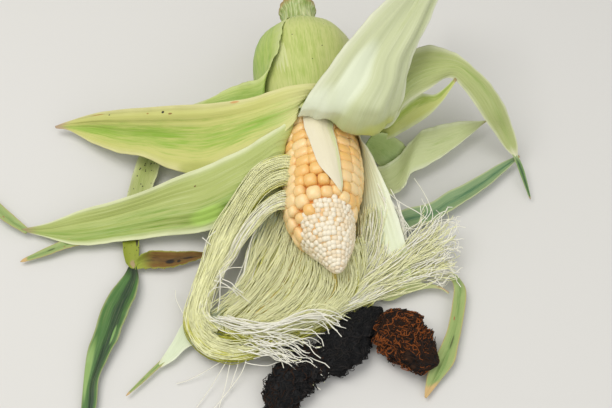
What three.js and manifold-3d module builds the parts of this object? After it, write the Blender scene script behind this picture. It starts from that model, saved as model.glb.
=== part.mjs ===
// An ear of maize, picked and opened: its husks are pulled back from the kernels
// and its silk spills over them. It lies on its husks with its tip towards -Y.
// Millimetres, +Z up, and the surface that it lies on is z = 0.
import * as THREE from "three";
import Module from "manifold-3d";
import { mergeVertices } from "three/addons/utils/BufferGeometryUtils.js";

const wasm = await Module();
wasm.setup();

// Driving dimensions of the ear
const EAR_RADIUS = 24;
const EAR_TAPER = 66; // the length over which the tip swells to the full radius
const EAR_BEND = 5; // how far the ear bows to the left behind its tip
const EAR_BEND_AT = 34;
const EAR_BEND_REACH = 19;
const EAR_YAW = THREE.MathUtils.degToRad(6.5); // the butt lies a little to the left of the tip
const TIP_HEIGHT = 26; // of the ear's axis over the ground, at the tip
const BUTT_HEIGHT = 33; // the same where the butt begins to round off
const BUTT_AT = 155; // distance along the axis from the tip to that place
const KERNEL_ROWS = 16;
const KERNEL_PITCH = 6.2;
const SMALL_PITCH = 3.6; // the unfilled kernels of the tip
const WHITE_TIP = 32; // their reach from the tip, over the top of the ear
const KERNELS_END = 98; // past here the kernels are inside the closed husks
const COB_END = 172;

// Driving dimensions of the husks
const WRAP_RADIUS = 33; // of the closed husks, where they touch the ground
const WRAP_RIM = 90; // where the husks are pulled open
const WRAP_RIM_RADIUS = 28.5;
const WRAP_END = 187;
const SHANK_RADIUS = 12;
const SHANK_END = 214;
const HUSK_THICK = 2.4;
const LEAF_THICK = 2.0;
const CLEAR = 0.35; // the gap that neighbouring pieces keep
const GROUND_CLEAR = 0.02;

// The point at a distance from the tip along the ear's axis
function axisPoint(distance) {
  const rise = (BUTT_HEIGHT - TIP_HEIGHT) / BUTT_AT;
  const bow = EAR_BEND * Math.exp(-(((distance - EAR_BEND_AT) / EAR_BEND_REACH) ** 2));
  return new THREE.Vector3(
    -Math.sin(EAR_YAW) * distance - bow,
    Math.cos(EAR_YAW) * distance,
    TIP_HEIGHT + rise * distance,
  );
}

const EAR_ALONG = axisPoint(BUTT_AT).sub(axisPoint(0)).normalize(); // from the tip to the butt
const EAR_RIGHT = new THREE.Vector3().crossVectors(EAR_ALONG, new THREE.Vector3(0, 0, 1)).normalize();
const EAR_UP = new THREE.Vector3().crossVectors(EAR_RIGHT, EAR_ALONG);

// A point on a circle round the ear's axis. Angle 0 is to the right, a quarter turn is on top.
function aroundEar(distance, radius, angle) {
  return axisPoint(distance)
    .addScaledVector(EAR_RIGHT, radius * Math.cos(angle))
    .addScaledVector(EAR_UP, radius * Math.sin(angle));
}

function earRadius(distance) {
  const swell = Math.sin((Math.PI / 2) * Math.min(1, distance / EAR_TAPER));
  return 1.2 + (EAR_RADIUS - 1.2) * Math.pow(swell, 0.62);
}

// A closed body through a row of rings that have the same number of points each
function loft(rings) {
  const count = rings[0].length;
  const positions = [];
  const faces = [];
  rings.forEach((ring) => ring.forEach((p) => positions.push(p.x, p.y, p.z)));
  for (let i = 0; i + 1 < rings.length; i++) {
    for (let j = 0; j < count; j++) {
      const a = i * count + j;
      const b = i * count + ((j + 1) % count);
      faces.push(a, b, b + count, a, b + count, a + count);
    }
  }
  [0, rings.length - 1].forEach((i) => {
    const middle = new THREE.Vector3();
    rings[i].forEach((p) => middle.addScaledVector(p, 1 / count));
    const hub = positions.length / 3;
    positions.push(middle.x, middle.y, middle.z);
    for (let j = 0; j < count; j++) {
      const a = i * count + j;
      const b = i * count + ((j + 1) % count);
      faces.push(...(i === 0 ? [b, a, hub] : [a, b, hub]));
    }
  });
  const geometry = new THREE.BufferGeometry();
  geometry.setAttribute("position", new THREE.Float32BufferAttribute(positions, 3));
  geometry.setIndex(faces);
  return geometry;
}

function toSolid(geometry) {
  const merged = mergeVertices(geometry, 1e-4);
  const vertProperties = merged.attributes.position.array;
  const triVerts = new Uint32Array(merged.index.array);
  const made = new wasm.Manifold(new wasm.Mesh({ numProp: 3, vertProperties, triVerts }));
  if (made.volume() >= 0) return made;
  // Rings that run the other way round give a body that is inside out
  return new wasm.Manifold(new wasm.Mesh({ numProp: 3, vertProperties, triVerts: triVerts.reverse() }));
}

function toGeometry(solid) {
  const mesh = solid.getMesh();
  const positions = new Float32Array(mesh.numVert * 3);
  for (let i = 0; i < mesh.numVert; i++) {
    positions.set(mesh.vertProperties.subarray(i * mesh.numProp, i * mesh.numProp + 3), i * 3);
  }
  const geometry = new THREE.BufferGeometry();
  geometry.setAttribute("position", new THREE.BufferAttribute(positions, 3));
  geometry.setIndex(new THREE.BufferAttribute(mesh.triVerts, 1));
  geometry.computeVertexNormals();
  return geometry;
}

// The value at share t of a length, from values at even steps along it
function valueAt(values, t) {
  const place = t * (values.length - 1);
  const from = Math.min(Math.floor(place), values.length - 2);
  return THREE.MathUtils.lerp(values[from], values[from + 1], place - from);
}

// The frame of a blade at share t: where it is, the way it runs, its side and its inner face
function bladeFrame(curve, blade, t) {
  const at = curve.getPoint(t);
  const along = curve.getTangent(t);
  const side = new THREE.Vector3();
  if (blade.side) {
    side.fromArray([0, 1, 2].map((k) => THREE.MathUtils.lerp(blade.side[0][k], blade.side[1][k], t)));
  } else {
    const lean = THREE.MathUtils.degToRad(valueAt(blade.lean, t));
    side.set(along.y, -along.x, 0).normalize().applyAxisAngle(along, lean);
  }
  side.addScaledVector(along, -side.dot(along)).normalize();
  return { at, along, side, face: new THREE.Vector3().crossVectors(side, along) };
}

const BLADE_ACROSS = 6;
const BLADE_ALONG = 14;

// A husk or a leaf blade: a thin curved strip whose section is an arc, hollow on its inner face
function bladeRings(blade, grow) {
  const curve = new THREE.CatmullRomCurve3(blade.route.map((p) => new THREE.Vector3(...p)));
  const { thick: ungrown = HUSK_THICK, across = BLADE_ACROSS, steps = BLADE_ALONG } = blade;
  const thick = ungrown + 2 * grow;
  const rings = [];
  for (let i = 0; i <= steps; i++) {
    const t = i / steps;
    const { at, along, side, face } = bladeFrame(curve, blade, t);
    if (i === 0) at.addScaledVector(along, -grow);
    if (i === steps) at.addScaledVector(along, grow);
    const width = valueAt(blade.width, t) + 2 * grow;
    const bend = THREE.MathUtils.degToRad(valueAt(blade.bend, t)) + 1e-3;
    const inner = [];
    const outer = [];
    for (let j = 0; j <= across; j++) {
      const share = (2 * j) / across - 1;
      const turn = (share * bend) / 2;
      const middle = at
        .clone()
        .addScaledVector(side, (width / bend) * Math.sin(turn))
        .addScaledVector(face, (width / bend) * (1 - Math.cos(turn)));
      const out = side.clone().multiplyScalar(-Math.sin(turn)).addScaledVector(face, Math.cos(turn));
      const half = (thick / 2) * (1 - 0.45 * Math.abs(share) ** 3);
      const floor = GROUND_CLEAR - grow;
      const low = middle.clone().addScaledVector(out, -half);
      const high = middle.clone().addScaledVector(out, half);
      low.z = Math.max(low.z, floor + (out.z < 0 ? half * 2 : 0));
      high.z = Math.max(high.z, floor + (out.z >= 0 ? half * 2 : 0));
      inner.push(high);
      outer.unshift(low);
    }
    rings.push([...inner, ...outer]);
  }
  return rings;
}

const LOCK_SIDES = 8;
const LOCK_ALONG = 7;

// A lock of silk: a flattened bundle, ridged along its strands
function lockRings(lock, grow) {
  const curve = new THREE.CatmullRomCurve3(lock.route.map((p) => new THREE.Vector3(...p)));
  const rings = [];
  for (let i = 0; i <= LOCK_ALONG; i++) {
    const t = i / LOCK_ALONG;
    const at = curve.getPoint(t);
    const along = curve.getTangent(t);
    if (i === 0) at.addScaledVector(along, -grow);
    if (i === LOCK_ALONG) at.addScaledVector(along, grow);
    const side = new THREE.Vector3(along.y, -along.x, 0).normalize();
    const up = new THREE.Vector3().crossVectors(side, along);
    const half = valueAt(lock.width, t) / 2;
    const rise = valueAt(lock.depth, t) / 2;
    const ring = [];
    for (let j = 0; j < LOCK_SIDES; j++) {
      const angle = (2 * Math.PI * j) / LOCK_SIDES;
      const ridge = j % 2 ? 0.8 : 1;
      const p = at
        .clone()
        .addScaledVector(side, (half * ridge + grow) * Math.cos(angle))
        .addScaledVector(up, (rise * ridge + grow) * Math.sin(angle));
      p.z = Math.max(p.z, GROUND_CLEAR - grow + (Math.sin(angle) > 0 ? 0.8 : 0));
      ring.push(p);
    }
    rings.push(ring);
  }
  return rings;
}

// The kernels: each is a raised face between valleys that it shares with its neighbours
function kernelRings({ from, to, pitch, rise, seat, faces, slices }, grow) {
  const rings = [];
  const count = Math.round((to - from) / pitch);
  const step = (to - from) / count;
  for (let k = 0; k < count; k++) {
    slices.forEach((share) => {
      const distance = from + step * (k + share);
      rings.push(kernelRing(distance, share === 0 ? 0 : rise, seat, faces, grow));
    });
  }
  rings.push(kernelRing(to, 0, seat, faces, grow));
  return rings;
}

function kernelRing(distance, rise, seat, faces, grow) {
  const ring = [];
  const base = earRadius(distance) - seat;
  const lift = rise * Math.min(1, base / 10);
  for (let j = 0; j < KERNEL_ROWS; j++) {
    faces.forEach((share) => {
      const angle = (2 * Math.PI * (j + share)) / KERNEL_ROWS;
      const radius = base + (share === 0 ? 0 : lift) + grow;
      ring.push(aroundEar(distance, Math.max(radius, 0.4), angle));
    });
  }
  return ring;
}

const ROUND_SIDES = 28;
const SHANK_SIDES = 20;

// A body of revolution round the ear's axis, through [distance, radius] pairs
function roundRings(profile, sides = ROUND_SIDES) {
  return profile.map(([distance, radius]) =>
    Array.from({ length: sides }, (_, j) => aroundEar(distance, radius, (2 * Math.PI * j) / sides)),
  );
}

const finish = {
  kernel: new THREE.MeshStandardMaterial({ color: 0xf2bd63, roughness: 0.38 }),
  smallKernel: new THREE.MeshStandardMaterial({ color: 0xf0dfb8, roughness: 0.45 }),
  innerHusk: new THREE.MeshStandardMaterial({ color: 0xd3dfae, roughness: 0.55 }),
  husk: new THREE.MeshStandardMaterial({ color: 0xaebf5c, roughness: 0.6 }),
  outerHusk: new THREE.MeshStandardMaterial({ color: 0x8fae45, roughness: 0.6 }),
  dryHusk: new THREE.MeshStandardMaterial({ color: 0x6e4a1c, roughness: 0.85 }),
  leaf: new THREE.MeshStandardMaterial({ color: 0x35602f, roughness: 0.55 }),
  silk: new THREE.MeshStandardMaterial({ color: 0xd9dc9a, roughness: 0.5 }),
  drySilk: new THREE.MeshStandardMaterial({ color: 0x2c1c12, roughness: 0.8 }),
  shank: new THREE.MeshStandardMaterial({ color: 0xb9c57a, roughness: 0.6 }),
};

// The space that the pieces made so far hold, with the gap that the next ones keep from them
let taken = null;
const part = new THREE.Group();

// Adds one piece, cut clear of those before it. ringsOf(grow) gives its outline, grown by that much.
function addPiece(name, ringsOf, material) {
  const outline = toSolid(loft(ringsOf(0)));
  const solid = taken ? outline.subtract(taken) : outline;
  const whole = solid.decompose().sort((a, b) => b.volume() - a.volume())[0];
  const mesh = new THREE.Mesh(toGeometry(whole), material);
  mesh.name = name;
  part.add(mesh);
  const grown = toSolid(loft(ringsOf(CLEAR)));
  taken = taken ? taken.add(grown) : grown;
}

// The ear itself

const COB_FOOT = EAR_RADIUS * 0.65; // the cob's radius where it ends
const COB_NARROWS = COB_END - 20;
const KERNEL_SEAT = 2.2;
const FLAT_KERNEL = [0, 0.25, 0.75]; // where a kernel has its edge and its face's two sides
const ROUND_KERNEL = [0, 0.5];
const tipKernels = { pitch: SMALL_PITCH, rise: 1.2, seat: 1.2, faces: ROUND_KERNEL, slices: ROUND_KERNEL };
const kernels = {
  pitch: KERNEL_PITCH,
  rise: KERNEL_SEAT,
  seat: KERNEL_SEAT,
  faces: FLAT_KERNEL,
  slices: ROUND_KERNEL,
};

addPiece(
  "ear_tip",
  (grow) => kernelRings({ ...tipKernels, from: 0.4, to: WHITE_TIP }, grow),
  finish.smallKernel,
);
addPiece(
  "ear_kernels",
  (grow) => [
    ...kernelRings({ ...kernels, from: WHITE_TIP + CLEAR, to: KERNELS_END }, grow),
    kernelRing(COB_NARROWS, 0, KERNEL_SEAT, FLAT_KERNEL, grow),
    kernelRing(COB_END, 0, EAR_RADIUS - COB_FOOT, FLAT_KERNEL, grow),
  ],
  finish.kernel,
);

// The husks that are still closed round the butt, and the cut stub of the shank

// A cup: its outside runs from the open rim over the butt, its inside back from the cob's foot
function wrapRings(grow) {
  const inside = [
    [COB_END + 1, COB_FOOT + 1],
    [COB_NARROWS + 0.5, EAR_RADIUS + 0.5 - KERNEL_SEAT],
    [KERNELS_END, EAR_RADIUS + 0.5],
    [WRAP_RIM, EAR_RADIUS + 0.5],
  ];
  const outside = [
    [WRAP_RIM - grow, WRAP_RIM_RADIUS + grow],
    [120, 31.2 + grow],
    [140, 32.6 + grow],
    [BUTT_AT, WRAP_RADIUS - 0.05 + grow],
    [166, 31.2 + grow],
    [177, 25.5 + grow],
    [WRAP_END + grow, 15 + grow],
  ];
  return roundRings(grow > 0 ? outside : [...inside, ...outside]);
}
addPiece("closed_husks", wrapRings, finish.outerHusk);

// The stub has a joint of the stalk at each end, and is narrower between them
function shankRings(grow) {
  const profile = [
    [WRAP_END + CLEAR + 0.1 - grow, SHANK_RADIUS + 1 + grow],
    [WRAP_END + 4, SHANK_RADIUS + 1.6 + grow],
    [WRAP_END + 7, SHANK_RADIUS - 0.6 + grow],
    [SHANK_END - 8, SHANK_RADIUS - 1 + grow],
    [SHANK_END - 6, SHANK_RADIUS + 0.6 + grow],
    [SHANK_END + grow, SHANK_RADIUS + grow],
  ];
  return roundRings(profile, SHANK_SIDES);
}
addPiece("shank", shankRings, finish.shank);

// The husks that are pulled back, and the leaf blades at their points. Routes run from the
// root to the point, and width, bend and lean are given at even steps along them.

const husks = [
  {
    name: "kernel_strip",
    finish: finish.innerHusk,
    thick: 1.2,
    across: 4,
    steps: 8,
    route: [[-8, 92, 56.5], [-6, 75, 55.8], [-4, 60, 55], [-1, 42, 52]],
    side: [[1, 0, 0], [1, 0, 0.1]],
    width: [19, 18, 12, 1.6],
    bend: [-40, -36, -20, -5],
  },
  {
    name: "husk_top",
    finish: finish.innerHusk,
    route: [
      [4, 93, 56], [6, 86, 63], [9, 83, 71], [17, 92, 80],
      [34, 122, 88], [52, 160, 84], [69, 198, 68], [82, 224, 46],
    ],
    side: [[1, -0.1, 0], [1, -0.45, 0]],
    width: [42, 48, 50, 50, 42, 26, 4],
    bend: [50, 36, 44, 44, 40, 30, 30],
  },
  {
    name: "husk_upper_left",
    finish: finish.husk,
    route: [
      [-17, 104, 57], [-36, 100, 56], [-60, 97, 49], [-86, 98, 39],
      [-118, 107, 26], [-150, 117, 15], [-182, 126, 7],
    ],
    lean: [-35, -30, -20, -14, -6, 0],
    width: [22, 30, 38, 40, 32, 20, 4],
    bend: [50, 50, 40, 40, 30],
  },
  {
    name: "husk_lower_left",
    finish: finish.husk,
    route: [
      [-25, 80, 49], [-44, 70, 43], [-68, 59, 34], [-96, 51, 24],
      [-127, 46, 14], [-160, 43, 8], [-189, 44, 5],
    ],
    lean: [-42, -38, -34, -26, -10],
    width: [34, 44, 46, 46, 36, 22, 4],
    bend: [40, 38, 38, 34, 30],
  },
  {
    name: "husk_outer_left",
    finish: finish.outerHusk,
    route: [[2, 142, 66.5], [-14, 137, 67], [-34, 131, 61], [-56, 128, 49], [-80, 126, 36]],
    lean: [-20, -20, -15],
    width: [26, 30, 28, 20, 5],
    bend: [60, 50, 30],
    across: 4,
  },
  {
    name: "husk_strap",
    finish: finish.husk,
    route: [
      [10, 113, 50], [36, 107, 57], [56, 119, 61], [71, 130, 57],
      [87, 128, 47], [101, 119, 30], [109, 110, 17], [115, 104, 10],
    ],
    lean: [-10, -15, -20, -20, 0],
    width: [34, 40, 36, 22, 16, 14, 11, 6],
    bend: [40, 36, 50, 50, 40],
  },
  {
    name: "strip_torn",
    finish: finish.innerHusk,
    thick: LEAF_THICK,
    across: 2,
    steps: 8,
    route: [[75, 129, 55], [66, 113, 39], [54, 105, 27], [36, 100, 22], [15, 98, 22]],
    lean: [20, 10, 0],
    width: [9, 8, 8, 5],
    bend: [30, 30],
  },
  {
    name: "husk_right_folded",
    finish: finish.innerHusk,
    route: [
      [12, 97, 12], [26, 84, 9], [40, 82, 10], [53, 95, 14],
      [67, 106, 17], [83, 117, 16], [100, 128, 12],
    ],
    lean: [10, 0],
    width: [18, 22, 26, 27, 24, 16, 3],
    bend: [60, 80, 60],
    across: 4,
    steps: 10,
  },
  {
    name: "husk_right_inner",
    finish: finish.innerHusk,
    route: [[18, 88, 32], [25, 70, 20], [31, 48, 10], [40, 26, 6], [51, 12, 4], [64, 1, 3]],
    lean: [48, 32, 18, 12, 6, 0],
    width: [30, 35, 36, 34, 20, 4],
    bend: [60, 50, 36, 20],
    steps: 11,
  },
  {
    name: "husk_left_inner",
    finish: finish.innerHusk,
    route: [
      [-30, 78, 26], [-40, 54, 14], [-47, 30, 7], [-56, 8, 4.5],
      [-69, -13, 4], [-85, -29, 3.6], [-98, -46, 3],
    ],
    lean: [-50, -30, -18, -10, 0],
    width: [34, 38, 38, 34, 26, 15, 4],
    bend: [60, 40, 30, 30],
    steps: 12,
  },
  {
    name: "sheath_left",
    finish: finish.outerHusk,
    across: 4,
    steps: 12,
    route: [
      [-36, 132, 24], [-66, 140, 12], [-92, 135, 6], [-110, 119, 5],
      [-119, 91, 4], [-123, 57, 4], [-122, 30, 4], [-119, 17, 4],
    ],
    lean: [-20, 0, 0],
    width: [20, 20, 17, 14, 11, 8, 6],
    bend: [50, 60, 60],
  },
];

const blade = {
  finish: finish.leaf,
  thick: LEAF_THICK,
  across: 4,
  steps: 8,
  lean: [0, 0],
  bend: [60, 50, 40],
};
const blades = [
  {
    ...blade,
    name: "blade_left",
    route: [
      [-119, 19, 4], [-121, 5, 5], [-126, -12, 6], [-131, -32, 6],
      [-134, -50, 5], [-133, -67, 4], [-134, -88, 3],
    ],
    width: [7, 13, 16, 16, 14, 11, 4],
  },
  {
    ...blade,
    name: "strip_brown",
    finish: finish.dryHusk,
    steps: 5,
    route: [[-117, 22, 5], [-107, 23, 5], [-92, 24, 5], [-76, 27, 5]],
    width: [6, 9, 8, 3],
  },
  {
    ...blade,
    name: "blade_upper_right",
    route: [[31, 43, 7], [52, 56, 6], [68, 66, 7], [84, 76, 7], [101, 87, 6], [122, 105, 5]],
    width: [9, 12, 12, 9, 2],
  },
  {
    ...blade,
    name: "blade_strap",
    steps: 5,
    route: [[114, 104, 9], [118, 92, 7], [120, 80, 5], [122, 70, 3]],
    width: [6, 6, 5, 3],
  },
  {
    ...blade,
    name: "blade_lower_left",
    steps: 6,
    route: [[-187, 44, 5], [-199, 53, 5], [-212, 65, 5], [-227, 79, 5]],
    width: [5, 8, 7, 2],
  },
  {
    ...blade,
    name: "strip_lower_left",
    finish: finish.husk,
    steps: 5,
    route: [[-156, 38, 6], [-164, 34, 5], [-174, 29, 4], [-187, 23, 3]],
    width: [8, 7, 6, 2],
  },
  {
    ...blade,
    name: "blade_left_inner",
    steps: 4,
    route: [[-96, -43, 3], [-103, -51, 3], [-114, -63, 3]],
    width: [5, 5, 2],
  },
  {
    ...blade,
    name: "blade_right_inner",
    route: [[60, 4, 4], [70, 4, 6], [69, -12, 5], [63, -31, 5], [56, -47, 4], [46, -64, 3]],
    width: [5, 7, 9, 12, 11, 2],
  },
];

[...husks, ...blades].forEach(({ name, finish: material, ...outline }) => {
  addPiece(name, (grow) => bladeRings(outline, grow), material);
});

// The silk, in locks that run from the open husks over each other, and the dried silk under it

const locks = [
  {
    name: "dry_hank",
    finish: finish.drySilk,
    route: [[36, -6, 5], [18, -18, 6], [2, -34, 7], [-12, -50, 6]],
    width: [16, 24, 22],
    depth: [8, 12, 10],
  },
  {
    name: "dry_end",
    finish: finish.drySilk,
    route: [[-12, -44, 6], [-24, -52, 6], [-30, -66, 5], [-32, -82, 4]],
    width: [18, 22, 18, 10],
    depth: [10, 10, 6],
  },
  {
    name: "dry_tuft",
    finish: finish.drySilk,
    route: [[30, -16, 7], [34, -30, 9], [42, -42, 9], [56, -48, 7]],
    width: [16, 26, 24, 12],
    depth: [10, 15, 8],
  },
  {
    name: "silk_left_outer",
    finish: finish.silk,
    route: [
      [-30, 70, 48], [-47, 58, 38], [-62, 48, 29],
      [-76, 16, 13], [-82, -8, 9], [-80, -28, 8],
    ],
    width: [10, 14, 16, 15],
    depth: [5, 8, 8],
  },
  {
    name: "silk_left_inner",
    finish: finish.silk,
    route: [
      [-27, 60, 42], [-44, 44, 33], [-56, 26, 22],
      [-65, 8, 14], [-71, -10, 10], [-72, -24, 8],
    ],
    width: [14, 16, 12, 9],
    depth: [5, 8, 7],
  },
  {
    name: "silk_left_low",
    finish: finish.silk,
    route: [[-27, 44, 18], [-36, 24, 13], [-46, 4, 10], [-58, -16, 9]],
    width: [14, 20, 18, 12],
    depth: [6, 9, 7],
  },
  {
    name: "silk_under_left",
    finish: finish.silk,
    route: [[-18, 22, 12], [-29, 4, 10], [-42, -12, 9], [-60, -26, 8]],
    width: [18, 24, 22, 12],
    depth: [8, 9, 7],
  },
  {
    name: "silk_under_tip",
    finish: finish.silk,
    route: [[-4, 8, 12], [-11, -7, 11], [-25, -23, 10], [-48, -36, 9]],
    width: [20, 25, 22, 12],
    depth: [8, 10, 7],
  },
  {
    name: "silk_under_right",
    finish: finish.silk,
    route: [[12, 20, 13], [14, 0, 11], [3, -16, 10], [-18, -28, 9]],
    width: [18, 22, 20, 12],
    depth: [8, 9, 7],
  },
  {
    name: "silk_right",
    finish: finish.silk,
    route: [[21, 52, 24], [26, 32, 15], [31, 8, 11], [20, -10, 9], [0, -22, 8]],
    width: [12, 18, 18, 12],
    depth: [6, 9, 7],
  },
  {
    name: "silk_right_outer",
    finish: finish.silk,
    route: [[27, 70, 27], [37, 50, 14], [45, 28, 11], [51, 14, 9]],
    width: [8, 12, 10],
    depth: [4, 6, 6],
  },
  {
    name: "silk_right_low",
    finish: finish.silk,
    route: [[60, 8, 7], [42, 0, 8], [24, -13, 8], [4, -27, 8], [-20, -38, 8]],
    width: [8, 14, 16, 12],
    depth: [5, 8, 6],
  },
  {
    name: "silk_hook",
    finish: finish.silk,
    route: [[-82, -26, 8], [-76, -40, 9], [-58, -46, 11], [-34, -44, 13], [-14, -40, 14]],
    width: [14, 20, 20, 14],
    depth: [8, 10, 8],
  },
  {
    name: "silk_ends_low",
    finish: finish.silk,
    route: [[-40, -48, 14], [-24, -50, 15], [-10, -56, 13], [-2, -66, 8]],
    width: [12, 18, 8],
    depth: [6, 7, 4],
  },
  {
    name: "silk_ends_high",
    finish: finish.silk,
    route: [[-30, -38, 15], [-10, -30, 16], [6, -28, 15], [22, -30, 12]],
    width: [10, 12, 5],
    depth: [5, 6, 3],
  },
  {
    name: "silk_fan_upper",
    finish: finish.silk,
    route: [[44, 24, 12], [56, 28, 15], [66, 40, 17], [74, 56, 18]],
    width: [10, 18, 22, 14],
    depth: [5, 7, 4],
  },
  {
    name: "silk_fan_lower",
    finish: finish.silk,
    route: [[40, 8, 11], [56, 12, 13], [70, 20, 14], [84, 26, 13]],
    width: [10, 18, 18, 10],
    depth: [5, 7, 4],
  },
];

locks.forEach(({ name, finish: material, ...outline }) => {
  addPiece(name, (grow) => lockRings(outline, grow), material);
});

// The origin is on the ground under the middle of the whole part
const extent = new THREE.Box3().setFromObject(part);
const middle = extent.getCenter(new THREE.Vector3());
part.position.set(-middle.x, -middle.y, -extent.min.z);

export default part;
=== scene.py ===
import math

import bpy
import numpy as np
from mathutils import Matrix, Vector


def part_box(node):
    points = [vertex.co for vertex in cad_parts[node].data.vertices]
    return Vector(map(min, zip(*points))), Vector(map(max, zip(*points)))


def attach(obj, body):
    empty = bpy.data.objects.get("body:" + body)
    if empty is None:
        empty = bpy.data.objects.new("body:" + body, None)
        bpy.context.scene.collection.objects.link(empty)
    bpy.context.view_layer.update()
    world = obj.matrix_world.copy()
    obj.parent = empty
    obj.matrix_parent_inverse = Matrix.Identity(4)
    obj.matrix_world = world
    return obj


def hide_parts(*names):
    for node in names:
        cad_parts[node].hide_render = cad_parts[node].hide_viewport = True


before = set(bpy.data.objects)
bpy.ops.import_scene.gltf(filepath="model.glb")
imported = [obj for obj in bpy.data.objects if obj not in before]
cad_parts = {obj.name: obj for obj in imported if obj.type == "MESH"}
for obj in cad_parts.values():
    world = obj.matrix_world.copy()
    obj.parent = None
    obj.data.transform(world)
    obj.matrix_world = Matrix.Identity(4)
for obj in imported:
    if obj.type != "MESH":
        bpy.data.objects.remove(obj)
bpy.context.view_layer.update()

# Where the ear lies
# The ear rests on its husks with its tip towards -Y. Its axis rises a little to the butt and bows
# to the left behind the tip. Places are in millimetres from the ground under the tip.
MM = 0.001
FULL_TURN = 2 * math.pi
EAR_RADIUS = 24
EAR_TAPER = 66
EAR_POINT = 1.2
EAR_WAIST = 1.5
EAR_WAIST_AT = 8
EAR_WAIST_REACH = 7
EAR_BEND = 5
EAR_BEND_AT = 34
EAR_BEND_REACH = 19
EAR_YAW = math.radians(6.5)
TIP_HEIGHT = 26
BUTT_HEIGHT = 33
BUTT_AT = 155
WRAP = [(90, 28.5), (120, 31.2), (140, 32.6), (155, 32.95), (166, 31.2), (177, 25.5), (187, 15)]
WRAP_SIDES = 28


def bell(distance, at, reach):
    return math.exp(-(((distance - at) / reach) ** 2))


def axis_point(distance):
    rise = (BUTT_HEIGHT - TIP_HEIGHT) / BUTT_AT
    bow = EAR_BEND * bell(distance, EAR_BEND_AT, EAR_BEND_REACH)
    x = -math.sin(EAR_YAW) * distance - bow
    return np.array([x, math.cos(EAR_YAW) * distance, TIP_HEIGHT + rise * distance])


def unit(vector):
    return vector / np.linalg.norm(vector)


EAR_ALONG = unit(axis_point(BUTT_AT) - axis_point(0))
EAR_RIGHT = unit(np.cross(EAR_ALONG, (0, 0, 1)))
EAR_UP = np.cross(EAR_RIGHT, EAR_ALONG)


def around_ear(distance, radius, angle):
    side = EAR_RIGHT * math.cos(angle) + EAR_UP * math.sin(angle)
    return axis_point(distance) + side * radius


def ear_radius(distance):
    swell = math.sin(math.pi / 2 * min(1, max(0, distance) / EAR_TAPER))
    waist = EAR_WAIST * bell(distance, EAR_WAIST_AT, EAR_WAIST_REACH)
    return EAR_POINT + (EAR_RADIUS - EAR_POINT) * swell**0.62 - waist


wrap_points = np.array([
    around_ear(distance, radius, FULL_TURN * k / WRAP_SIDES)
    for distance, radius in WRAP
    for k in range(WRAP_SIDES)
])
ORIGIN = np.array(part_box("closed_husks")[0]) - wrap_points.min(0) * MM


def placed(points):
    return np.asarray(points, float) * MM + ORIGIN


# The view
# The camera looks down on the ear from in front of its tip and above, so that the kernels, the silk
# and the spread husks all show.
VIEW_FROM = (-17.83, -290.28, 459.10)
VIEW_DOWN = math.radians(38)
LENS = 54.88
SENSOR_WIDTH = 36


def new_object(name, data):
    made = bpy.data.objects.new(name, data)
    bpy.context.scene.collection.objects.link(made)
    return made


view_camera = bpy.data.cameras.new("view")
view_camera.lens = LENS
view_camera.sensor_width = SENSOR_WIDTH
view_camera.clip_start = 0.01
view = new_object("view", view_camera)
view.location = placed(VIEW_FROM)
view.rotation_euler = (VIEW_DOWN, 0, 0)
bpy.context.scene.camera = view

# The cob
# The core that the kernels sit on. Between the kernels its chaff shows as seams, coloured orange as
# painted shade in the crevices.
COB_RINGS = 60
COB_SIDES = 48
COB_START = 0.3
COB_END = 172
COB_LEAST = 0.3
COB_TAPER = 8
COB_TAPER_AT = 150
COB_CLEAR = 0.7
KERNEL_DEPTH = 2.2
TIP_MIDDLE = 20.5
TIP_SHORTEST = 19
TIP_SLANT_RIGHT = 6.7
TIP_SLANT_UP = 14


def tint(colour):
    """A colour that is written as six hex digits, as linear red, green, blue and alpha."""
    parts = [int(colour[i : i + 2], 16) / 255 for i in (0, 2, 4)]
    return [p / 12.92 if p < 0.04045 else ((p + 0.055) / 1.055) ** 2.4 for p in parts] + [1]


def add_node(tree, kind, inputs=None, **settings):
    """A node with its settings and inputs. An input is a plain value, a socket or a Number."""
    made = tree.nodes.new(kind)
    for key, value in settings.items():
        setattr(made, key, value)
    for key, value in (inputs or {}).items():
        value = value.socket if isinstance(value, Number) else value
        if isinstance(value, bpy.types.NodeSocket):
            tree.links.new(value, made.inputs[key])
        else:
            made.inputs[key].default_value = value
    return made


class Number:
    """A number that a node tree works out. Arithmetic on it adds the nodes that do it."""

    def __init__(self, tree, socket):
        self.tree = tree
        self.socket = socket

    def math(self, operation, first, second=0.0):
        inputs = {0: first, 1: second}
        made = add_node(self.tree, "ShaderNodeMath", inputs, operation=operation)
        return Number(self.tree, made.outputs[0])

    def __add__(self, other):
        return self.math("ADD", self, other)

    def __sub__(self, other):
        return self.math("SUBTRACT", self, other)

    def __mul__(self, other):
        return self.math("MULTIPLY", self, other)

    def __rtruediv__(self, other):
        return self.math("DIVIDE", other, self)

    def __pow__(self, other):
        return self.math("POWER", self, other)

    def __abs__(self):
        return self.math("ABSOLUTE", self)


def mix_colours(share, first, second):
    inputs = {0: share, 6: first, 7: second}
    return add_node(share.tree, "ShaderNodeMix", inputs, data_type="RGBA").outputs[2]


def band(value, low, high):
    """0 where the value is under low, 1 over high, and smooth between. Low may be above high."""
    inputs = {"Value": value, "From Min": low, "From Max": high}
    made = add_node(value.tree, "ShaderNodeMapRange", inputs, interpolation_type="SMOOTHSTEP")
    return Number(value.tree, made.outputs[0])


def noise(tree, place, scale, detail=3, roughness=0.55):
    inputs = {"Vector": place, "Scale": scale, "Detail": detail, "Roughness": roughness}
    return Number(tree, add_node(tree, "ShaderNodeTexNoise", inputs).outputs[0])


def stretched(tree, place, scale):
    return add_node(tree, "ShaderNodeMapping", {"Vector": place, "Scale": scale}).outputs[0]


def object_place(tree):
    return add_node(tree, "ShaderNodeTexCoord").outputs["Object"]


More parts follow.
